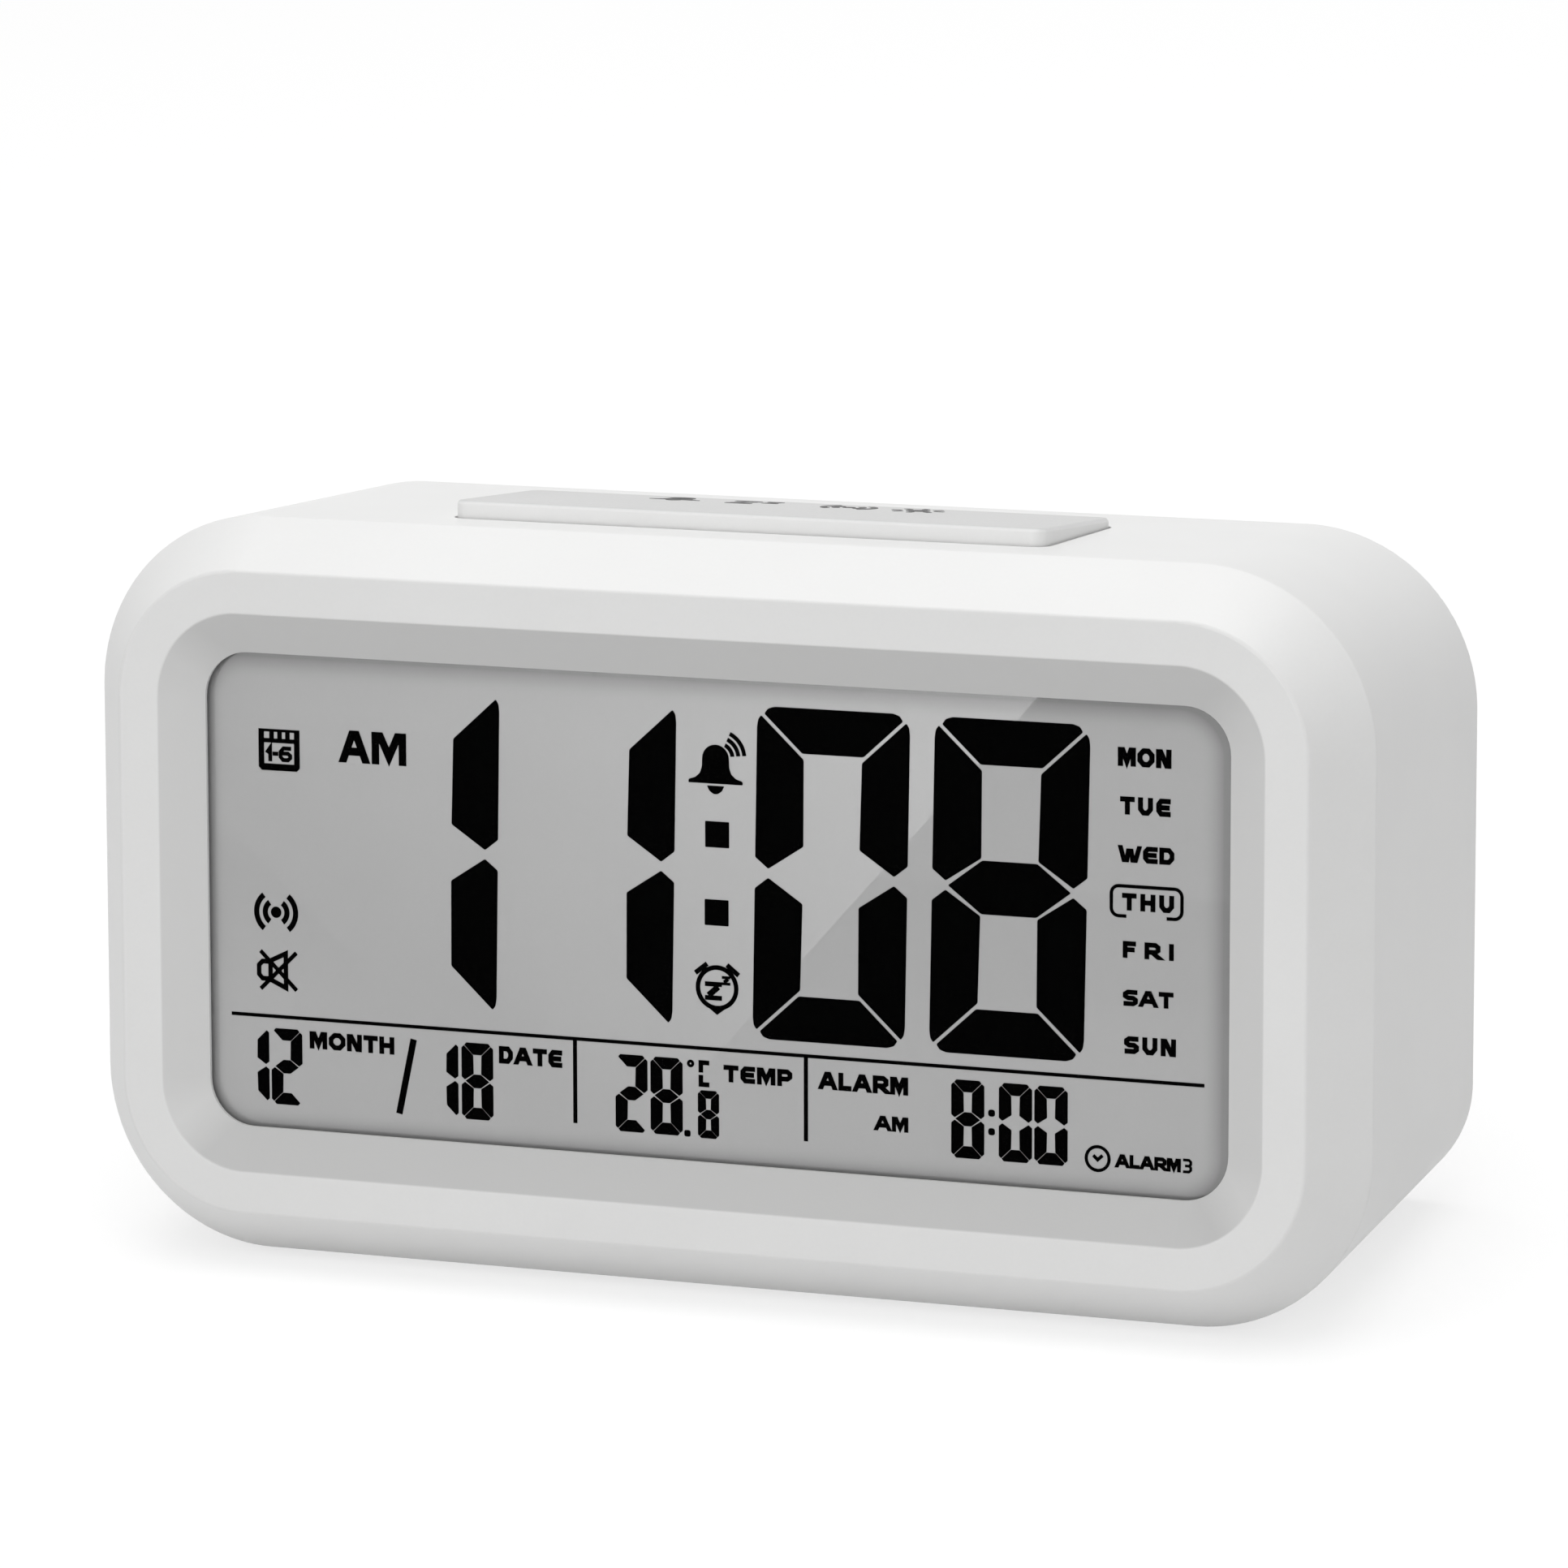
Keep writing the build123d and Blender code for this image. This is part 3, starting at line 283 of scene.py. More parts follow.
# Painted shade: the film's colour darkens towards the window's edge.
film_rim = outline_distance(
    film_wire, window_half_width, window_half_height, window_corner, film_painted_shade_middle)
film_painted_shade = (1 + film_rim * (1 / film_edge_reach)).clamped()
film_wire.feed(film, {
    "Base Color": blend(film_wire, film_painted_shade * film_painted_shade, film_colour, grey(film_tone * film_edge_shade_share)),
    "Roughness": 0.45 + film_grain * 0.1,
})
dress(film_material, "lcd_front_glass", "lcd_rear_glass")

# Time digits: the dark seven-segment figures, a hair proud of the front glass.
# Each segment is an etched electrode area, mitred to its neighbours with a light gap between.
# All the display's drawings are in millimetres, from the middle of its picture.
millimetre = 0.001
up_face = Vector((0, math.sin(lean), math.cos(lean)))
out_of_face = Vector((0, -math.cos(lean), math.sin(lean)))
glass_depth = 0.00355
ink_thickness = 0.03
picture_shift = Vector((0.000345, 0, 0)) + up_face * 0.000165


def place_on(origin, across, up):
    """The matrix that lays a drawing in millimetres on a plane of the clock."""
    across, up = Vector(across).normalized(), Vector(up).normalized()
    axes = Matrix((across, up, across.cross(up))).transposed().to_4x4()
    return Matrix.Translation(origin) @ axes @ Matrix.Diagonal((millimetre, millimetre, millimetre, 1.0))


def polygon(drawing, corners, softness):
    """Draw a filled outline, its corners rounded by softness."""
    points = [drawing.verts.new((x, y, 0)) for x, y in corners]
    drawing.faces.new(points)
    bmesh.ops.bevel(drawing, geom=points, offset=softness, affect="VERTICES", segments=3, profile=0.5,
                    material=-1)


def block(drawing, left, low, right, high, softness):
    """Draw a filled square or oblong."""
    polygon(drawing, [(left, low), (right, low), (right, high), (left, high)], softness)


def put(name, drawing, material):
    """Make an object of a finished mesh and link it to the scene."""
    mesh = bpy.data.meshes.new(name)
    drawing.to_mesh(mesh)
    drawing.free()
    mesh.materials.append(material)
    made = bpy.data.objects.new(name, mesh)
    bpy.context.scene.collection.objects.link(made)
    return made


def lay(name, drawing, place, material, body, thickness=ink_thickness):
    """Thicken a drawing, lay it on its plane and let it ride on a body."""
    drawing.normal_update()
    turned = [face for face in drawing.faces if face.normal.z < 0]
    bmesh.ops.reverse_faces(drawing, faces=turned)
    bmesh.ops.solidify(drawing, geom=drawing.faces[:], thickness=thickness)
    bmesh.ops.recalc_face_normals(drawing, faces=drawing.faces[:])
    lowest = min(vert.co.z for vert in drawing.verts)
    bmesh.ops.translate(drawing, vec=(0, 0, -lowest), verts=drawing.verts[:])
    bmesh.ops.transform(drawing, matrix=place, verts=drawing.verts[:])
    piece = put(name, drawing, material)
    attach(piece, body)


segments = {"0": "abcdef", "1": "bc", "2": "abged", "8": "abcdefg"}
post_waist = [(0, -0.31), (0.28, -0.09), (1.01, -0.57)]
belt_tip = [(0.33, 0), (1.03, -0.53)]


def figure(drawing, digit, left, low, width, height, weight, corner, softness, slant=0.0):
    """Draw one seven-segment digit, its strokes of one weight and its corners in shares of that weight."""
    half = height / 2
    end, post = ([(x * weight, y * weight) for x, y in side] for side in corner)
    cap = end + [(width - x, y) for x, y in reversed(end)]
    post += [(x * weight, half + y * weight) for x, y in post_waist]
    tip = [(x * weight, half + y * weight) for x, y in belt_tip]
    shoulder_x, shoulder_y = tip[-1]
    belt = tip + [(width - x, y) for x, y in reversed(tip)]
    belt += [(width - shoulder_x, height - shoulder_y), (shoulder_x, height - shoulder_y)]
    outlines = {"a": (cap, 0, 0), "b": (post, 1, 0), "c": (post, 1, 1), "d": (cap, 0, 1), "e": (post, 0, 1),
                "f": (post, 0, 0), "g": (belt, 0, 0)}
    for segment in segments[digit]:
        outline, mirrored, flipped = outlines[segment]
        corners = []
        for x, y in outline:
            x = width - x if mirrored else x
            y = y if flipped else height - y
            corners.append((left + x + slant * (y - half), low + y))
        polygon(drawing, corners, softness)


segment_material, segment_shader, segment_wire = begin("segment_black", Specular_IOR_Level=0.0)
segment_grain = noise(segment_wire, 1800.0)
segment_wire.feed(segment_shader, {
    "Base Color": blend(segment_wire, segment_grain, grey(0.0003), grey(0.0010)),
    "Roughness": 0.55 + segment_grain * 0.1,
})
time_low = -11.7
time_width = 16.0
time_height = 33.15
time_weight = 5.0
time_corner = ([(0.36, 0), (0.22, 0.045), (0.15, 0.15), (0.96, 0.9)],
               [(0.99, 1.02), (0.08, 0.18), (0.02, 0.27), (0, 0.42)])
colon_width = 2.54
colon_height = 2.6
glass_place = place_on(face_middle + picture_shift - out_of_face * glass_depth, (1, 0, 0), up_face)
time_digits = bmesh.new()
for digit, digit_left in (("1", -39.15), ("1", -20.2), ("0", 4.36), ("8", 22.92)):
    figure(time_digits, digit, digit_left, time_low, time_width, time_height, time_weight, time_corner,
           softness=0.14, slant=0.018)
for dot_left, dot_low in ((-0.9, 7.1), (-0.98, -0.7)):
    block(time_digits, dot_left, dot_low, dot_left + colon_width, dot_low + colon_height, softness=0.08)
lay("time_digits", time_digits, glass_place, segment_material, "clock")

# Small digits: the date, the temperature and the alarm's time, along the foot of the display.
# They are cut as the large ones are, with bolder strokes for their size and corners cut straight.
small_low = -22.1
small_width = 3.44
small_height = 7.8
small_weight = 1.3
small_corner = ([(0.4, 0), (0.23, 0.2), (0.965, 0.93)], [(0.98, 0.985), (0.2, 0.23), (0, 0.4)])
small_dot_left = 28.8
small_dot_right = 29.5
small_dot_half = 0.35
tenth_left = -1.78
tenth_low = -22.15
tenth_width = 2.26
tenth_height = 4.82
tenth_weight = 0.88
small_digits = bmesh.new()
for digit, digit_left in (
    ("1", -51.92), ("2", -48.24), ("1", -31.08), ("8", -27.28), ("2", -10.6), ("8", -6.84),
    ("8", 24.95), ("0", 29.9), ("0", 33.58),
):
    figure(small_digits, digit, digit_left, small_low, small_width, small_height, small_weight, small_corner,
           softness=0.04)
figure(small_digits, "8", tenth_left, tenth_low, tenth_width, tenth_height, tenth_weight, small_corner,
       softness=0.03)
block(small_digits, left=-3.25, low=-22.12, right=-2.57, high=-21.46, softness=0.2)
for dot_middle in (-17.4, -19.25):
    block(small_digits, small_dot_left, dot_middle - small_dot_half, small_dot_right,
          dot_middle + small_dot_half, softness=0.25)
lay("small_digits", small_digits, glass_place, segment_material, "clock")


# Display rules and words: thin rules between the fields, and plain capitals for the days and fields.
# They are electrodes too, always dark, in the same layer as the digits.
def trace(drawing, path, width, lettering=False):
    """Draw a line of some width along a path, mitred at its bends; a path that ends where it starts closes.

    In lettering, the ends reach on by half the width, and those of steep strokes are cut level.
    """
    points = [Vector(point) for point in path]
    closed = points[0] == points[-1]
    sides = [(end - start).orthogonal().normalized() for start, end in zip(points, points[1:])]
    before = [sides[-1 if closed else 0], *sides]
    after = [*sides, sides[0 if closed else -1]]
    mitres = [(one + other) / (1 + one.dot(other)) for one, other in zip(before, after)]
    if lettering and not closed:
        for end, inner in ((0, 1), (-1, -2)):
            way = (points[end] - points[inner]).normalized()
            steep = abs(way.y) > 0.5
            points[end] = points[end] + way * (width / 2 / (abs(way.y) if steep else 1))
            if steep:
                mitres[end] = Vector((1 / mitres[end].x, 0))
    rims = []
    for half in (-width / 2, width / 2):
        row = [drawing.verts.new((*(point + mitre * half), 0)) for point, mitre in zip(points, mitres)]
        if closed:
            drawing.verts.remove(row[-1])
            row[-1] = row[0]
        rims.append([drawing.edges.new(pair) for pair in zip(row, row[1:])])
    for edges in zip(*rims):
        bmesh.ops.bridge_loops(drawing, edges=edges)


bowl = [(0, 0), (0, 1), (0.75, 1), (1, 0.83), (1, 0.57), (0.75, 0.4), (0.1, 0.4)]
letters = {
    "A": (1.2, [[(0, 0), (0.4, 1), (0.6, 1), (1, 0)], [(0.22, 0.3), (0.78, 0.3)]]),
    "D": (0.9, [[(0, 0), (0.7, 0), (1, 0.3), (1, 0.7), (0.7, 1), (0, 1), (0, 0)]]),
    "E": (0.88, [[(1, 1), (0.25, 1), (0, 0.75), (0, 0.25), (0.25, 0), (1, 0)], [(0.1, 0.5), (0.9, 0.5)]]),
    "F": (0.75, [[(0, 0), (0, 1), (1, 1)], [(0.1, 0.5), (0.85, 0.5)]]),
    "H": (0.95, [[(0, 0), (0, 1)], [(1, 0), (1, 1)], [(0.1, 0.5), (0.9, 0.5)]]),
    "I": (0.0, [[(0, 0), (0, 1)]]),
    "L": (0.75, [[(0, 1), (0, 0), (1, 0)]]),
    "M": (1.2, [[(0, 0), (0, 1), (0.18, 1), (0.5, 0.17), (0.82, 1), (1, 1), (1, 0)]]),
    "N": (0.95, [[(0, 0), (0, 1), (0.2, 1), (0.8, 0), (1, 0), (1, 1)]]),
    "O": (1.12, [[(0.3, 0), (0.7, 0), (1, 0.3), (1, 0.7), (0.7, 1), (0.3, 1), (0, 0.7), (0, 0.3), (0.3, 0)]]),
    "P": (0.9, [bowl]),
    "R": (1.0, [bowl, [(0.45, 0.4), (1, 0)]]),
    "S": (0.92, [[(0.95, 1), (0.25, 1), (0, 0.85), (0, 0.65), (0.25, 0.5), (0.75, 0.5), (1, 0.35), (1, 0.15),
                  (0.75, 0), (0.05, 0)]]),
    "T": (0.9, [[(0, 1), (1, 1)], [(0.5, 0.9), (0.5, 0)]]),
    "U": (0.93, [[(0, 1), (0, 0.3), (0.3, 0), (0.7, 0), (1, 0.3), (1, 1)]]),
    "W": (1.6, [[(0, 1), (0.18, 0), (0.34, 0), (0.42, 0.75), (0.58, 0.75), (0.66, 0), (0.82, 0), (1, 1)]]),
    "1": (0.13, [[(0, 0.8), (1, 1), (1, 0)]]),
    "3": (0.7, [[(0, 1), (0.7, 1), (1, 0.85), (1, 0.65), (0.75, 0.5), (1, 0.35), (1, 0.15), (0.7, 0), (0, 0)],
                [(0.3, 0.5), (0.7, 0.5)]]),
    "6": (0.8, [[(0.9, 1), (0.3, 1), (0, 0.7), (0, 0.25), (0.25, 0), (0.75, 0), (1, 0.2), (1, 0.38),
                 (0.75, 0.56), (0.1, 0.56)]]),
    "-": (0.17, [[(0, 0.5), (1, 0.5)]]),
}


def word(drawing, text, left, right, low, high, gap, weight=0.29):
    """Draw a word that fills a box, its gap and weight in shares of its height."""
    height = high - low
    stroke_width = weight * height
    space = stroke_width + gap * height
    shares = [letters[letter][0] for letter in text]
    share_width = (right - left - stroke_width - space * (len(text) - 1)) / sum(shares)
    start = left + stroke_width / 2
    foot = low + stroke_width / 2
    for letter, share in zip(text, shares):
        for path in letters[letter][1]:
            points = [(start + x * share * share_width, foot + y * (height - stroke_width)) for x, y in path]
            trace(drawing, points, stroke_width, lettering=True)
        start += share * share_width + space


rule_row = -13.1
rule_width = 0.36
divider_high = -13.25
divider_low = -21.65
divider_width = 0.43
slash_width = 0.7
display_words = bmesh.new()
trace(display_words, [(-52.6, rule_row), (51.0, rule_row)], rule_width)
for divider_x in (-14.95, 9.7):
    trace(display_words, [(divider_x, divider_high), (divider_x, divider_low)], divider_width)
trace(display_words, [(-32.5, -14.4), (-34.15, -22.1)], slash_width)
for text, left, right, low, high, gap in (
    ("MONTH", -43.97, -34.64, -16.12, -14.35, 0.1),
    ("DATE", -23.2, -16.34, -16.17, -14.4, 0.09),
    ("TEMP", 0.97, 8.26, -16.31, -14.6, 0.12),
    ("ALARM", 11.07, 20.45, -16.31, -14.52, 0.1),
    ("AM", 16.93, 20.47, -20.0, -18.5, 0.07),
    ("ALARM", 41.94, 48.65, -21.82, -20.48, 0.02),
    ("MON", 42.0, 47.45, 17.65, 19.5, 0.08),
    ("TUE", 42.25, 47.4, 12.94, 14.7, 0.19),
    ("WED", 42.1, 47.8, 8.28, 9.93, 0.1),
    ("THU", 42.5, 47.8, 3.57, 5.27, 0.23),
    ("FRI", 42.6, 47.8, -1.09, 0.56, 0.53),
    ("SAT", 42.64, 47.8, -5.8, -4.2, 0.08),
    ("SUN", 42.78, 48.08, -10.5, -8.77, 0.2),
):
    word(display_words, text, left, right, low, high, gap)
for text, left, right, low, high, weight in (
    ("A", -40.28, -37.14, 13.28, 16.55, 0.25),
    ("M", -36.8, -33.03, 13.28, 16.55, 0.25),
    ("3", 48.87, 49.8, -21.85, -20.42, 0.19),
):
    word(display_words, text, left, right, low, high, gap=0.0, weight=weight)
lay("display_words", display_words, glass_place, segment_material, "clock")


# Display signs: the small pictures of what is switched on, such as the bell and the sound waves.
# They lie in the same layer, drawn with lines of even width.
def arc(drawing, centre, radius, width, start=0.0, sweep=360.0, steps=24):
    """Draw a curved line of some width, anticlockwise from the right, in degrees."""
    turn = math.radians(start)
    along = Vector((math.cos(turn), math.sin(turn), 0))
    middle = Vector((*centre, 0))
    ends = [drawing.verts.new(middle + along * (radius + side * width / 2)) for side in (-1, 1)]
    edge = drawing.edges.new(ends)
    bmesh.ops.spin(drawing, geom=[*ends, edge], cent=middle, axis=(0, 0, 1), angle=math.radians(sweep),
                   steps=steps, use_merge=sweep == 360.0)


def disc(drawing, centre, radius):
    """Draw a filled circle."""
    bmesh.ops.create_circle(drawing, cap_ends=True, radius=radius, segments=24,
                            matrix=Matrix.Translation((*centre, 0)))


def bell(drawing, x, y, size):
    """Draw a bell with its clapper, from the middle of its dome."""
    dome_radius = 1.42
    flank = [(dome_radius, 0.0), (1.44, -0.8), (1.66, -1.46), (2.15, -1.9), (2.85, -2.12), (2.88, -2.47)]
    outline = flank + [(-across, up) for across, up in reversed(flank)]
    polygon(drawing, [(x + across * size, y + up * size) for across, up in outline], softness=0.1 * size)
    disc(drawing, (x, y), dome_radius * size)
    clapper = [(-0.92, -2.68), (0.92, -2.68), (0.66, -3.2), (0.22, -3.5), (-0.22, -3.5), (-0.66, -3.2)]
    polygon(drawing, [(x + across * size, y + up * size) for across, up in clapper], softness=0.08 * size)


def waves(drawing, x, y, size):
    """Draw a dot with sound waves on both sides."""
    dot_radius = 0.58
    wave_line = 0.57
    disc(drawing, (x, y), dot_radius * size)
    for radius, half_sweep in ((1.2, 54.0), (2.16, 52.0)):
        for middle_turn in (0.0, 180.0):
            arc(drawing, (x, y), radius * size, wave_line * size, start=middle_turn - half_sweep,
                sweep=2 * half_sweep, steps=12)


def sleeper(drawing, left, low, width, height, weight):
    """Draw the letter of someone asleep, its diagonal bolder."""
    right, high = left + width, low + height
    inset = 0.8 * weight
    bold = 1.3 * weight
    trace(drawing, [(left, high - weight / 2), (right, high - weight / 2)], weight)
    trace(drawing, [(left, low + weight / 2), (right, low + weight / 2)], weight)
    trace(drawing, [(left + inset, low + weight), (right - inset, high - weight)], bold)


ring_middle = (0.66, 16.1)
ring_line = 0.42
display_signs = bmesh.new()
bell(display_signs, x=0.22, y=15.92, size=1.0)
for ring_radius in (1.35, 1.98, 2.62):
    arc(display_signs, ring_middle, ring_radius, ring_line, start=6.0, sweep=60.0, steps=10)
waves(display_signs, x=-47.53, y=-2.43, size=1.0)

snooze_x, snooze_y = 0.31, -6.93
snooze_radius = 2.04
snooze_line = 0.47
snooze_ear_line = 0.5
arc(display_signs, (snooze_x, snooze_y), snooze_radius, snooze_line, steps=36)
polygon(display_signs, [(snooze_x - 1.5, snooze_y - 1.6), (snooze_x, snooze_y - 2.72),
                        (snooze_x + 1.5, snooze_y - 1.6), (snooze_x, snooze_y - 2.05)], softness=0.05)
for side in (-1, 1):
    ear = [(snooze_x + side * 2.3, snooze_y + 1.38), (snooze_x + side * 1.05, snooze_y + 2.36)]
    trace(display_signs, ear, snooze_ear_line)
sleeper(display_signs, left=-0.98, low=-8.2, width=1.8, height=1.86, weight=0.48)
sleeper(display_signs, left=0.82, low=-6.62, width=0.9, height=0.92, weight=0.29)

calendar_left, calendar_right, calendar_low, calendar_high = -49.24, -44.72, 12.02, 16.22
calendar_bar = 0.6
calendar_foot = 0.69
calendar_corner = 0.16
calendar_top = 0.28
calendar_tab = 0.5
band_row = 15.05
band_line = 0.44
page_left = calendar_left + calendar_bar / 2
page_right = calendar_right - calendar_bar / 2
page_low = calendar_low + calendar_bar / 2
trace(display_signs, [
    (page_left, calendar_high), (page_left, page_low + calendar_corner),
    (page_left + calendar_corner, page_low), (page_right - calendar_corner, page_low),
    (page_right, page_low + calendar_corner), (page_right, calendar_high),
], calendar_bar)
for page_row, page_line in ((calendar_low + calendar_foot / 2, calendar_foot),
                            (calendar_high - calendar_top / 2, calendar_top), (band_row, band_line)):
    trace(display_signs, [(page_left, page_row), (page_right, page_row)], page_line)
for tab_x in (-47.8, -46.92, -46.05):
    trace(display_signs, [(tab_x, band_row), (tab_x, calendar_high)], calendar_tab)
word(display_signs, "1-6", left=-48.35, right=-45.55, low=12.93, high=14.52, gap=0.03, weight=0.26)

mute_line = 0.43
horn_line = 0.49
for mute_stroke in ([(-49.32, -6.46), (-45.34, -10.3)], [(-45.34, -6.46), (-49.32, -10.34)]):
    trace(display_signs, mute_stroke, mute_line)
horn = [(-48.22, -7.42), (-46.52, -6.6), (-46.52, -10.12), (-48.22, -9.36), (-48.22, -7.42)]
horn_back = [(-48.3, -7.52), (-49.1, -7.52), (-49.49, -7.92), (-49.49, -8.88), (-49.1, -9.28), (-48.3, -9.28)]
for horn_stroke in (horn, horn_back):
    trace(display_signs, horn_stroke, horn_line)

degree_middle = (-2.54, -14.72)
degree_radius = 0.24
degree_line = 0.3
celsius_line = 0.48
arc(display_signs, degree_middle, degree_radius, degree_line)
for celsius_stroke in ([(-0.55, -14.55), (-1.45, -14.55), (-1.45, -15.55)],
                       [(-1.45, -15.8), (-1.45, -16.75), (-0.55, -16.75)]):
    trace(display_signs, celsius_stroke, celsius_line)

dial_x, dial_y = 40.12, -21.09
dial_radius = 1.18
dial_line = 0.33
hand_line = 0.34
arc(display_signs, (dial_x, dial_y), dial_radius, dial_line)
dial_hands = [(dial_x - 0.46, dial_y + 0.3), (dial_x, dial_y - 0.12), (dial_x + 0.5, dial_y + 0.34)]
trace(display_signs, dial_hands, hand_line)

day_left, day_right, day_low, day_high = 41.4, 48.6, 3.0, 5.94
day_corner = 0.75
day_line = 0.34
day_hook = 1.55
for corner_x, corner_y, corner_start in (
    (day_right - day_corner, day_high - day_corner, 0.0),
    (day_left + day_corner, day_high - day_corner, 90.0),
    (day_left + day_corner, day_low + day_corner, 180.0),
    (day_right - day_corner, day_low + day_corner, 270.0),
):
    arc(display_signs, (corner_x, corner_y), day_corner, day_line, start=corner_start, sweep=90.0, steps=6)
trace(display_signs, [(day_left + day_corner, day_high), (day_right - day_corner, day_high)], day_line)
for side_x, hook_x, corner_x in ((day_left, day_left + day_hook, day_left + day_corner),
                                 (day_right, day_right - day_hook, day_right - day_corner)):
    trace(display_signs, [(side_x, day_low + day_corner), (side_x, day_high - day_corner)], day_line)
    trace(display_signs, [(corner_x, day_low), (hook_x, day_low)], day_line)
lay("display_signs", display_signs, glass_place, segment_material, "clock")


# Back light: a clear moulded guide with a white paper sheet behind it, which throws the light forward.
# Two resin lamps shine in at the guide's right end.
def clear(name, colour, alpha):
    """Clear moulded plastic, a little cloudy inside."""
    material, shader, wire = begin(name, Roughness=0.08, IOR=1.49, Alpha=alpha)
    haze = noise(wire, 160.0, 4.0)
    wire.feed(shader, {"Base Color": blend(wire, haze, tinted(colour, 0.92), colour)})
    return material


def paper(name, colour):
    """Pressed paper: loose fibres and a soft tooth."""
    material, shader, wire = begin(name, IOR=1.4)
    fibres = noise(wire, 1500.0, 6.0)
    wire.feed(shader, {
        "Base Color": blend(wire, fibres, tinted(colour, 0.8), tinted(colour, 1.1)),
        "Roughness": 0.85 + fibres * 0.1,
        "Normal": bump(wire, fibres, 1.5e-5),
    })
    return material


dress(clear("guide_clear", (0.90, 0.94, 0.94, 1.0), 0.4), "light_guide")
dress(paper("reflector_white", grey(0.86)), "reflector_sheet")
dress(clear("lamp_resin", (0.95, 0.90, 0.62, 1.0), 0.9), "backlight_lamps")

# Display frame and contact strip: a black moulded surround that squares up the display's layers,
# and the soft strip of silicone that carries the board's pads to the glass.
dress(moulded("surround_black", grey(0.018), roughness=0.5), "display_frame")
dress(rubber("strip_silicone", (0.62, 0.30, 0.30, 1.0), 0.65), "contact_strip")


# Boards: glass-filled laminate under green lacquer, with copper tracks that show through it.
# The main board is screwed on behind the display, the bar's and the keys' boards on their standoffs.
def laminate(name):
    """Lacquered circuit board: tracks run under the green, a shade lighter, and stand a little proud."""
    material, shader, wire = begin(name, IOR=1.5, Coat_Weight=0.3, Coat_Roughness=0.2)
    tracks = wire.node("ShaderNodeTexBrick", {"offset": 0.37, "squash": 1.8, "squash_frequency": 3}, {
        "Vector": place_of(wire), "Color1": grey(1.0), "Color2": grey(0.9), "Mortar": grey(0.0),
        "Scale": 95.0, "Mortar Size": 0.035, "Mortar Smooth": 0.05, "Brick Width": 0.8, "Row Height": 0.28,
    }, output="Fac")
    weave = noise(wire, 900.0, 3.0)
    lacquer = blend(wire, weave, (0.010, 0.075, 0.026, 1.0), (0.016, 0.11, 0.04, 1.0))
    wire.feed(shader, {
        "Base Color": blend(wire, tracks * 0.8, lacquer, (0.06, 0.26, 0.09, 1.0)),
        "Roughness": 0.32 + weave * 0.12,
        "Normal": bump(wire, tracks, 2e-5),
    })
    return material


dress(laminate("board_green"), "main_board", "bar_board", "key_board")

# Board parts: two bare chips sealed under drops of black resin, a moulded amplifier, the watch crystal
# in its tin can, two sleeved capacitors and the thermistor's dipped bead, all soldered on the back.
resin_black = moulded("resin_black", grey(0.012), roughness=0.3, grain=700.0, relief=3e-5)
dress(resin_black, "clock_chip", "voice_chip")
dress(moulded("chip_black", grey(0.02), roughness=0.55), "amplifier_chip")


def metal(name, colour, roughness):
    """Plated sheet metal: drawn marks along it and a broken shine."""
    material, shader, wire = begin(name, Metallic=1.0)
    drawn = wire.node("ShaderNodeMapping", inputs={"Vector": place_of(wire), "Scale": (0.08, 1.0, 1.0)})
    marks = wire.node("ShaderNodeTexNoise", inputs={"Vector": drawn, "Scale": 4200.0, "Detail": 3.0})
    stains = noise(wire, 180.0, 4.0)
    wire.feed(shader, {
        "Base Color": blend(wire, stains, tinted(colour, 0.86), colour),
        "Roughness": roughness + (marks - 0.5) * 0.2,
        "Normal": bump(wire, marks, 4e-6),
    })
    return material


dress(metal("crystal_can", (0.72, 0.71, 0.68, 1.0), 0.28), "crystal")
dress(moulded("capacitor_sleeve", (0.03, 0.035, 0.09, 1.0), roughness=0.35), "capacitors")
dress(moulded("thermistor_bead", (0.02, 0.035, 0.02, 1.0), roughness=0.25), "thermistor")

# Press switches: square black bodies with a dome inside, soldered under the bar and behind the keys.
# Their round plungers pass on each press and come back by the dome.
key_names = ("mode_key", "set_key", "up_key", "down_key", "alarm_key", "voice_key")
plunger_names = ("bar_plungers", *(f"{key}_plunger" for key in key_names))
dress(moulded("switch_black", grey(0.025), roughness=0.5), "bar_switches", "key_switches")
dress(moulded("plunger_grey", grey(0.16), roughness=0.5), *plunger_names)

# Top bar: the long white wedge that is pressed to hear the time, moulded with a hollow underside.
# Its sloping top carries painted shade, a tone greyer, with signs printed in grey near the back edge:
# a bell, sleep, sound waves and a lamp.
bar_white = (0.87, 0.87, 0.865, 1.0)
bar_front_rise = 0.0391616
bar_front_depth = 0.0126
bar_back_rise = 0.0377986
bar_back_depth = 0.0330
# Painted shade: the bar's sloping top is darkened by this share of its white.
bar_top_shade_share = 0.655
bar_top_blur = 0.0003


def behind_face(rise, depth):
    """The point in the middle of the clock so far up its leaning face and so deep behind it."""
    return face_middle + up_face * rise - out_of_face * depth


bar_front_top = behind_face(bar_front_rise, bar_front_depth)
bar_back_top = behind_face(bar_back_rise, bar_back_depth)
bar_slope = (bar_back_top - bar_front_top).normalized()
bar_square = Vector((1, 0, 0)).cross(bar_slope)


def on_bar_top(wire):
    """1 on the bar's sloping top, falling to 0 just below its rounded edge."""
    rise = wire.node("ShaderNodeVectorMath", {"operation": "DOT_PRODUCT"},
                     {0: place_of(wire), 1: bar_square}, output="Value")
    return (1 + (rise - bar_front_top.dot(bar_square)) * (1 / bar_top_blur)).clamped()


def bar_top_painted_shade(wire):
    """The share of the bar's white on its top, lowered as painted shade and lightly clouded by the flow."""
    return bar_top_shade_share + (flow_clouds(wire) - 0.5) * 0.06


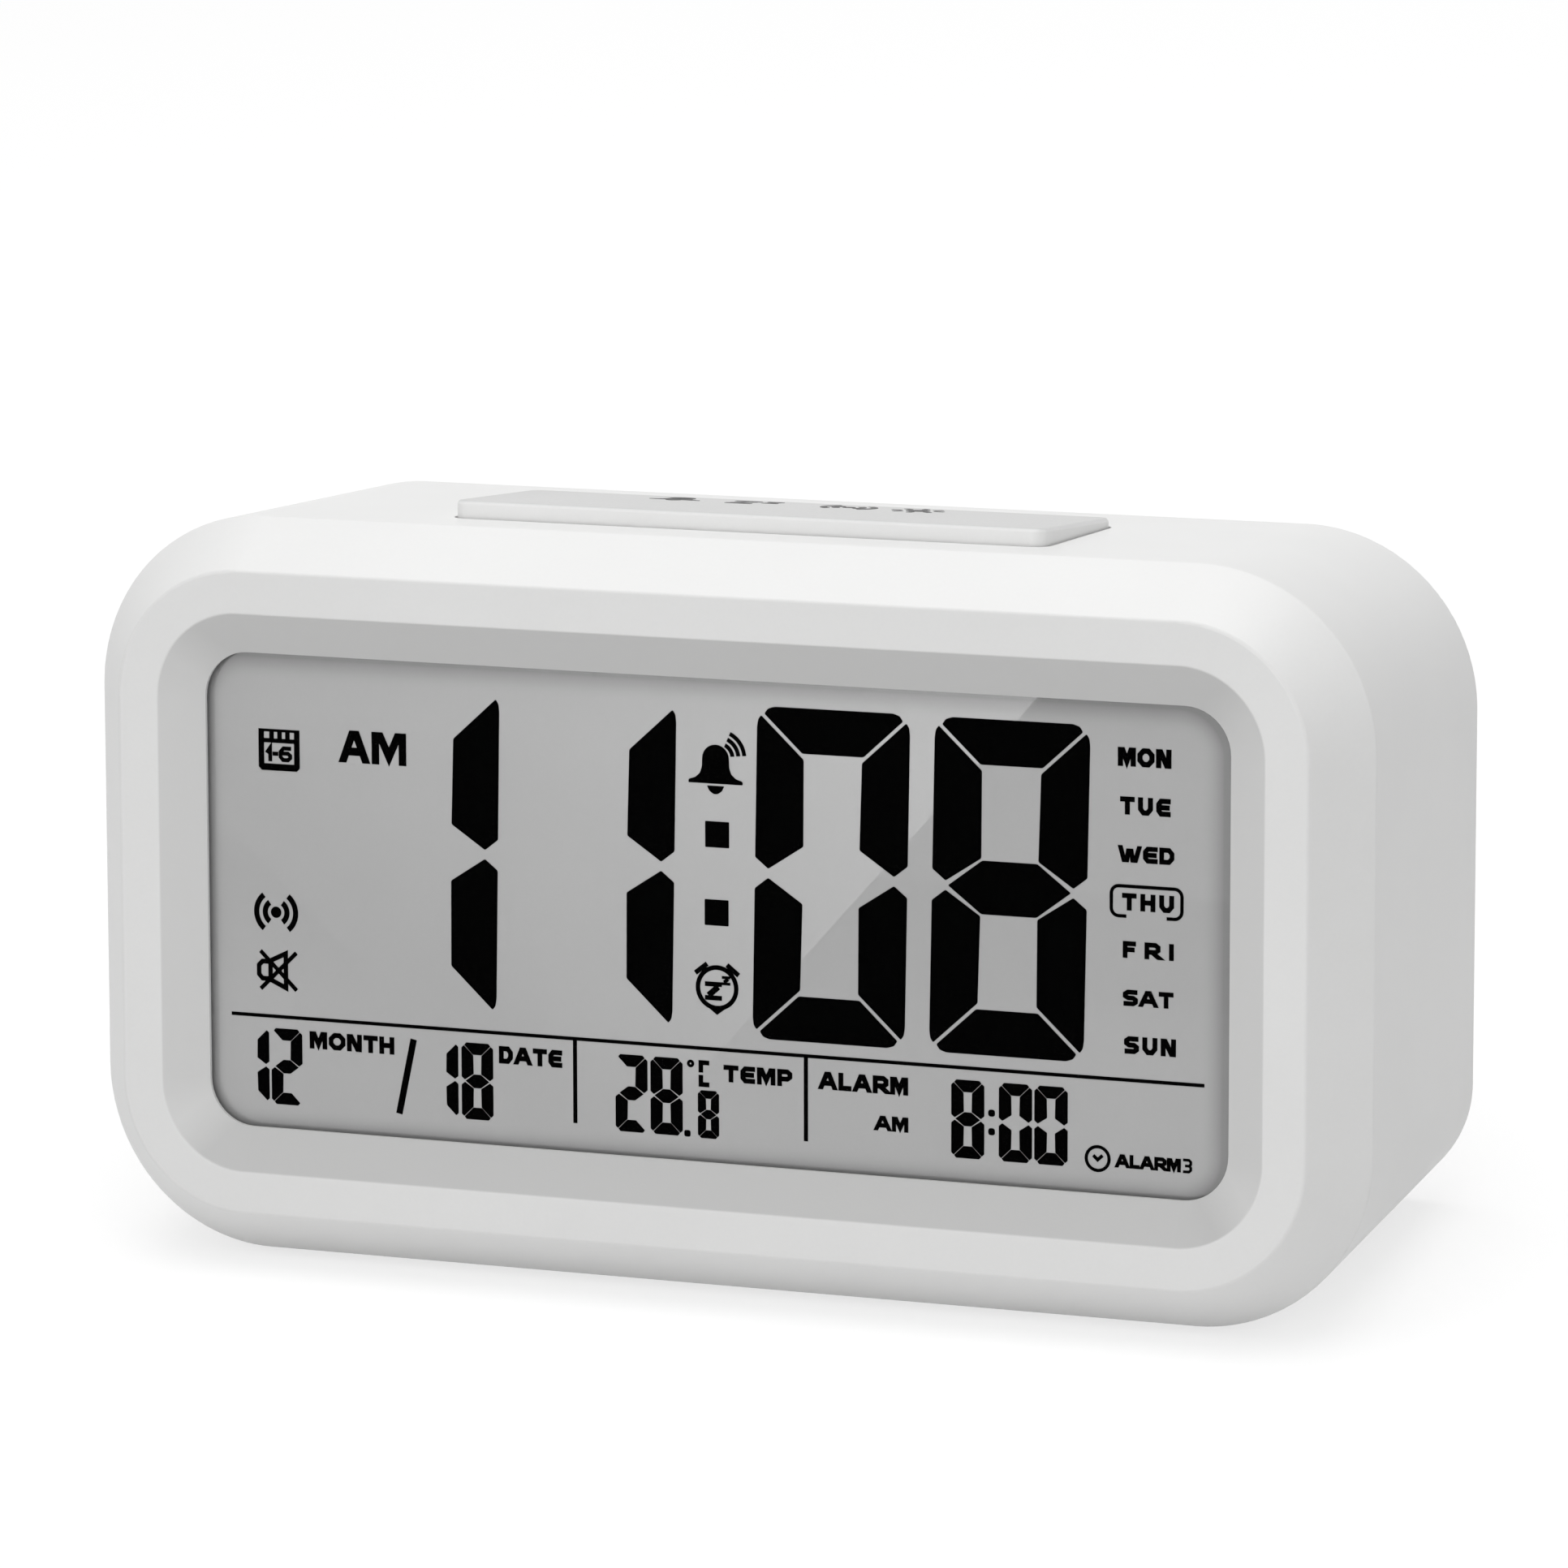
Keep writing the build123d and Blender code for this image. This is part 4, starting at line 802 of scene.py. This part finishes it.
dress(moulded("bar_white", bar_white, roughness=0.36, relief=5e-6, painted_shade_band=(on_bar_top, bar_top_painted_shade)),
      "top_bar")

print_material, print_shader, print_wire = begin("print_grey", IOR=1.45)
print_speckle = noise(print_wire, 2600.0)
print_wire.feed(print_shader, {
    "Base Color": blend(print_wire, print_speckle, grey(0.06), grey(0.10)),
    "Roughness": 0.5 + print_speckle * 0.15,
})
bar_row = 6.2
lamp_middle = Vector((12.2, bar_row))
lamp_radius = 1.25
lamp_rays = 8
ray_reach = (1.75, 2.75)
ray_line = 0.56
bar_place = place_on((bar_front_top + bar_back_top) / 2, (1, 0, 0), bar_back_top - bar_front_top)
bar_signs = bmesh.new()
bell(bar_signs, x=-13.8, y=bar_row + 1.4, size=0.95)
sleeper(bar_signs, left=-8.0, low=bar_row - 1.8, width=2.8, height=3.6, weight=0.72)
sleeper(bar_signs, left=-4.7, low=bar_row, width=1.7, height=2.2, weight=0.5)
waves(bar_signs, x=4.8, y=bar_row, size=1.2)
disc(bar_signs, lamp_middle, lamp_radius)
for ray in range(lamp_rays):
    turn = math.tau * ray / lamp_rays
    along = Vector((math.cos(turn), math.sin(turn)))
    trace(bar_signs, [lamp_middle + along * reach for reach in ray_reach], ray_line)
lay("bar_signs", bar_signs, bar_place, print_material, "top_bar")

# Setting keys: six light grey caps that stand through slots in the back, each with a printed sign above.
# A flange behind the wall keeps each cap in, and its stem meets the switch's plunger.
key_row = 22.635
key_pitch = 15.5
key_sign_rise = 6.6
back_depth = 0.0446
list_half = 1.3
list_pitch = 0.8
list_line = 0.36
knob_radius = 1.05
knob_line = 0.4
knob_dot = 0.4
arrow_half = 1.3
arrow_foot = 1.0
arrow_tip = 1.2
dress(moulded("key_grey", grey(0.62), roughness=0.4), *key_names)
back_place = place_on(behind_face(0.0, back_depth), (-1, 0, 0), up_face)
sign_y = key_row + key_sign_rise
middle_key = (len(key_names) - 1) / 2
mode_x, set_x, up_x, down_x, alarm_x, voice_x = (
    key_pitch * (middle_key - index) for index in range(len(key_names)))
key_signs = bmesh.new()
for line in (-1, 0, 1):
    line_y = sign_y + line * list_pitch
    trace(key_signs, [(mode_x - list_half, line_y), (mode_x + list_half, line_y)], list_line)
arc(key_signs, (set_x, sign_y), knob_radius, knob_line)
disc(key_signs, (set_x, sign_y), knob_dot)
for arrow_x, way in ((up_x, 1), (down_x, -1)):
    polygon(key_signs, [(arrow_x - arrow_half, sign_y - way * arrow_foot),
                        (arrow_x + arrow_half, sign_y - way * arrow_foot),
                        (arrow_x, sign_y + way * arrow_tip)], softness=0.12)
bell(key_signs, alarm_x, sign_y + 0.5, size=0.5)
waves(key_signs, voice_x, sign_y, size=0.62)
lay("key_signs", key_signs, back_place, print_material, "clock")

# Battery door: a flush white lid with finger grooves, hooked by two tongues and snapped at the top.
# A raised arrow below the grooves shows which way it opens.
door_middle_x = 5.96
door_arrow_half = 2.6
door_arrow_low = 1.6
door_arrow_high = 5.1
door_arrow_thickness = 0.25
door_material = moulded("door_white", case_white)
dress(door_material, "battery_door")
door_arrow = bmesh.new()
polygon(door_arrow, [(door_middle_x - door_arrow_half, door_arrow_low),
                     (door_middle_x + door_arrow_half, door_arrow_low),
                     (door_middle_x, door_arrow_high)], softness=0.35)
lay("door_arrow", door_arrow, back_place, door_material, "battery_door",
    thickness=door_arrow_thickness)

# Cells: three cylindrical dry cells that lie across the tub, turned end for end, between the contacts.
# Each is a drawn steel can with bare ends in a printed film sleeve, pale at its plus end.
cell_bare_plus = 0.0013
cell_bare_minus = 0.0004
cell_band_end = 0.0125
cell_steel_blur = 0.000125
cell_band_blur = 0.0001667
sleeve_pale = (0.50, 0.51, 0.52, 1.0)
sleeve_dark = (0.035, 0.05, 0.075, 1.0)


def cell_sleeve(name, node, plus_side):
    """A cell's finish along its length: steel ends, a pale band at the plus end, a dark sleeve."""
    low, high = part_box(node)
    material, shader, wire = begin(name, IOR=1.5)
    x = place_along(wire, "X")
    from_plus = (x - low.x) if plus_side < 0 else (high.x - x)
    from_minus = (high.x - low.x) - from_plus
    past_plus = ((from_plus - cell_bare_plus) * (1 / cell_steel_blur)).clamped()
    past_minus = ((from_minus - cell_bare_minus) * (1 / cell_steel_blur)).clamped()
    steel = 1 - past_plus * past_minus
    past_band = ((from_plus - cell_band_end) * (1 / cell_band_blur)).clamped()
    sleeve = blend(wire, past_band, sleeve_pale, sleeve_dark)
    scuffs = noise(wire, 700.0, 5.0)
    scuffed = blend(wire, scuffs * 0.25, sleeve, grey(0.4))
    wire.feed(shader, {
        "Base Color": blend(wire, steel, scuffed, grey(0.62)),
        "Metallic": steel * 0.95,
        "Roughness": 0.26 + scuffs * 0.18,
    })
    return material


for cell, plus_side in (("cell_lower", -1), ("cell_middle", 1), ("cell_upper", -1)):
    dress(cell_sleeve(f"{cell}_sleeve", cell, plus_side), cell)

# Contacts: plates and bowed leaves of plated spring steel, stamped from strip.
# They are slid into the tub's end walls and press on the cells' ends.
dress(metal("contact_plate", (0.80, 0.79, 0.75, 1.0), 0.25), "positive_contacts", "negative_contacts")

# Speaker: a pressed steel basket with a ferrite magnet glued behind it and a black paper cone in its mouth.
# Three screws hold its rim down on the seat behind the sound holes.
dress(metal("basket_steel", (0.62, 0.62, 0.60, 1.0), 0.34), "speaker_basket")
dress(moulded("magnet_ferrite", grey(0.05), roughness=0.6, grain=1200.0, relief=2e-5), "speaker_magnet")
dress(paper("cone_paper", grey(0.03)), "speaker_cone")

# Leads and ribbons: soft sheathed wire from the cells and the speaker, flat ribbon from the two small boards.
# They are soldered to the back of the main board.
dress(rubber("lead_red", (0.42, 0.012, 0.010, 1.0), 0.45), "battery_lead_red")
dress(rubber("lead_black", grey(0.018), 0.45), "battery_lead_black", "speaker_leads")
ribbon_material, ribbon_shader, ribbon_wire = begin("ribbon_grey", IOR=1.5)
ribbon_cores = ribbon_wire.node("ShaderNodeTexWave", {"wave_type": "BANDS", "bands_direction": "X"}, {
    "Vector": place_of(ribbon_wire), "Scale": 310.0}, output="Fac")
ribbon_wire.feed(ribbon_shader, {
    "Base Color": blend(ribbon_wire, ribbon_cores, grey(0.22), grey(0.48)),
    "Roughness": 0.4 + ribbon_cores * 0.1,
    "Normal": bump(ribbon_wire, ribbon_cores, 1.5e-4),
})
dress(ribbon_material, "key_ribbon", "bar_ribbon")

# Screws: plated steel with cross heads, formed from wire.
# They hold the boards, the speaker's rim and the two halves of the case.
dress(metal("screw_steel", (0.70, 0.70, 0.67, 1.0), 0.3), "board_screws", "bar_board_screws",
      "key_board_screws", "speaker_screws", "case_screws")

# Floor: a wide white table top that the clock stands on, seen almost evenly white.
# It throws light back up at the clock and keeps a pale shadow of it.
floor_reach = 4.0
floor_bounce = 0.80
floor_glow = 0.70
floor_shade_tone = 0.36


def seen_white(wire):
    """1 for what the camera sees, straight, mirrored or through a clear piece, 0 for the light that falls."""
    rays = [wire.node("ShaderNodeLightPath", output=ray)
            for ray in ("Is Camera Ray", "Is Glossy Ray", "Is Transmission Ray")]
    return wire.math("MAXIMUM", rays[0], wire.math("MAXIMUM", rays[1], rays[2]))


floor_material, floor_wire = blank("floor_white")
floor_lit = floor_wire.node("ShaderNodeBsdfDiffuse", inputs={"Color": grey(floor_bounce)})
floor_shade = floor_wire.node("ShaderNodeBsdfDiffuse", inputs={"Color": grey(floor_shade_tone)})
floor_white = floor_wire.node("ShaderNodeEmission", inputs={"Color": grey(1.0), "Strength": floor_glow})
floor_seen = floor_wire.node("ShaderNodeAddShader", inputs={0: floor_shade, 1: floor_white})
floor_top = floor_wire.node("ShaderNodeMixShader", inputs={
    0: seen_white(floor_wire), 1: floor_lit, 2: floor_seen})
floor_wire.feed(floor_wire.tree.nodes["Material Output"], {"Surface": floor_top})
floor_plane = bmesh.new()
bmesh.ops.create_grid(floor_plane, x_segments=1, y_segments=1, size=floor_reach)
floor = put("floor", floor_plane, floor_material)

# Light: a white room that the clock mirrors, a wide soft box overhead and a smaller one in front.
# The room's light that falls on the clock is held lower than its look.
room_light = 0.35
clock_middle = Vector((0, 0, 0.03))
world = bpy.data.worlds.new("white_room")
world.use_nodes = True
bpy.context.scene.world = world
world_wire = Wire(world.node_tree)
world_wire.feed(world.node_tree.nodes["Background"], {
    "Color": grey(1.0), "Strength": seen_white(world_wire) * (1 - room_light) + room_light})


def soft_box(name, centre, size, brightness):
    """A square area lamp that faces the clock, its brightness that of its face."""
    lamp = bpy.data.lights.new(name, "AREA")
    lamp.shape = "SQUARE"
    lamp.size = size
    lamp.energy = brightness * math.pi * size * size
    box = bpy.data.objects.new(name, lamp)
    aim = (clock_middle - Vector(centre)).to_track_quat("-Z", "Y").to_matrix()
    box.matrix_world = Matrix.Translation(centre) @ aim.to_4x4()
    box.visible_camera = False
    bpy.context.scene.collection.objects.link(box)


soft_box("ceiling_box", centre=(0, 0, 1.2), size=1.2, brightness=2.3)
soft_box("front_box", centre=(0.1, -1.2, 0.45), size=0.8, brightness=1.59)

# Card: a white board in front of the clock, at the left, which shows only as a reflection.
# Its slanting edge is the line across the display's film, and it gets darker towards its foot.
card_distance = 0.3
card_x = -0.0754
card_rise = -0.0254
card_edge = (0.667, 0.745)
card_head = 30.0
card_length = 130.0
card_width = 140.0
card_fade = 92.0
card_gain = 1.6
edge_across, edge_up = card_edge
edge_way = Vector((edge_across, 0, 0)) + up_face * edge_up
inner_way = Vector((-edge_up, 0, 0)) + up_face * edge_across
card_origin = behind_face(card_rise, -card_distance) + Vector((card_x, 0, 0))
card_material, card_wire = blank("card_white")
card_along = place_along(card_wire, "X")
card_glow = card_wire.node("ShaderNodeEmission", inputs={
    "Color": 1 + (1 + card_along * (1 / card_fade)).clamped() * card_gain})
card_wire.feed(card_wire.tree.nodes["Material Output"], {"Surface": card_glow})
card_middle = Matrix.Translation((card_head - card_length / 2, card_width / 2, 0))
card_plane = bmesh.new()
bmesh.ops.create_grid(card_plane, x_segments=1, y_segments=1, size=0.5,
                      matrix=card_middle @ Matrix.Diagonal((card_length, card_width, 1, 1)))
card = put("card", card_plane, card_material)
card.matrix_world = place_on(card_origin, edge_way, inner_way)
for sight in ("camera", "diffuse", "transmission", "volume_scatter", "shadow"):
    setattr(card, f"visible_{sight}", False)

# Camera: a long lens from the right and a little above, where the photograph was taken from.
# Its place and turn were fitted to the frame's outlines in the photograph.
camera_lens = 188.576
camera_place = (0.299812, -0.720007, 0.307669)
camera_turn = (71.41117, 3.76897, 21.27097)
camera_data = bpy.data.cameras.new("camera")
camera_data.lens = camera_lens
camera = bpy.data.objects.new("camera", camera_data)
camera.location = camera_place
camera.rotation_euler = [math.radians(angle) for angle in camera_turn]
bpy.context.scene.collection.objects.link(camera)
bpy.context.scene.camera = camera
bpy.context.scene.view_settings.view_transform = "Standard"
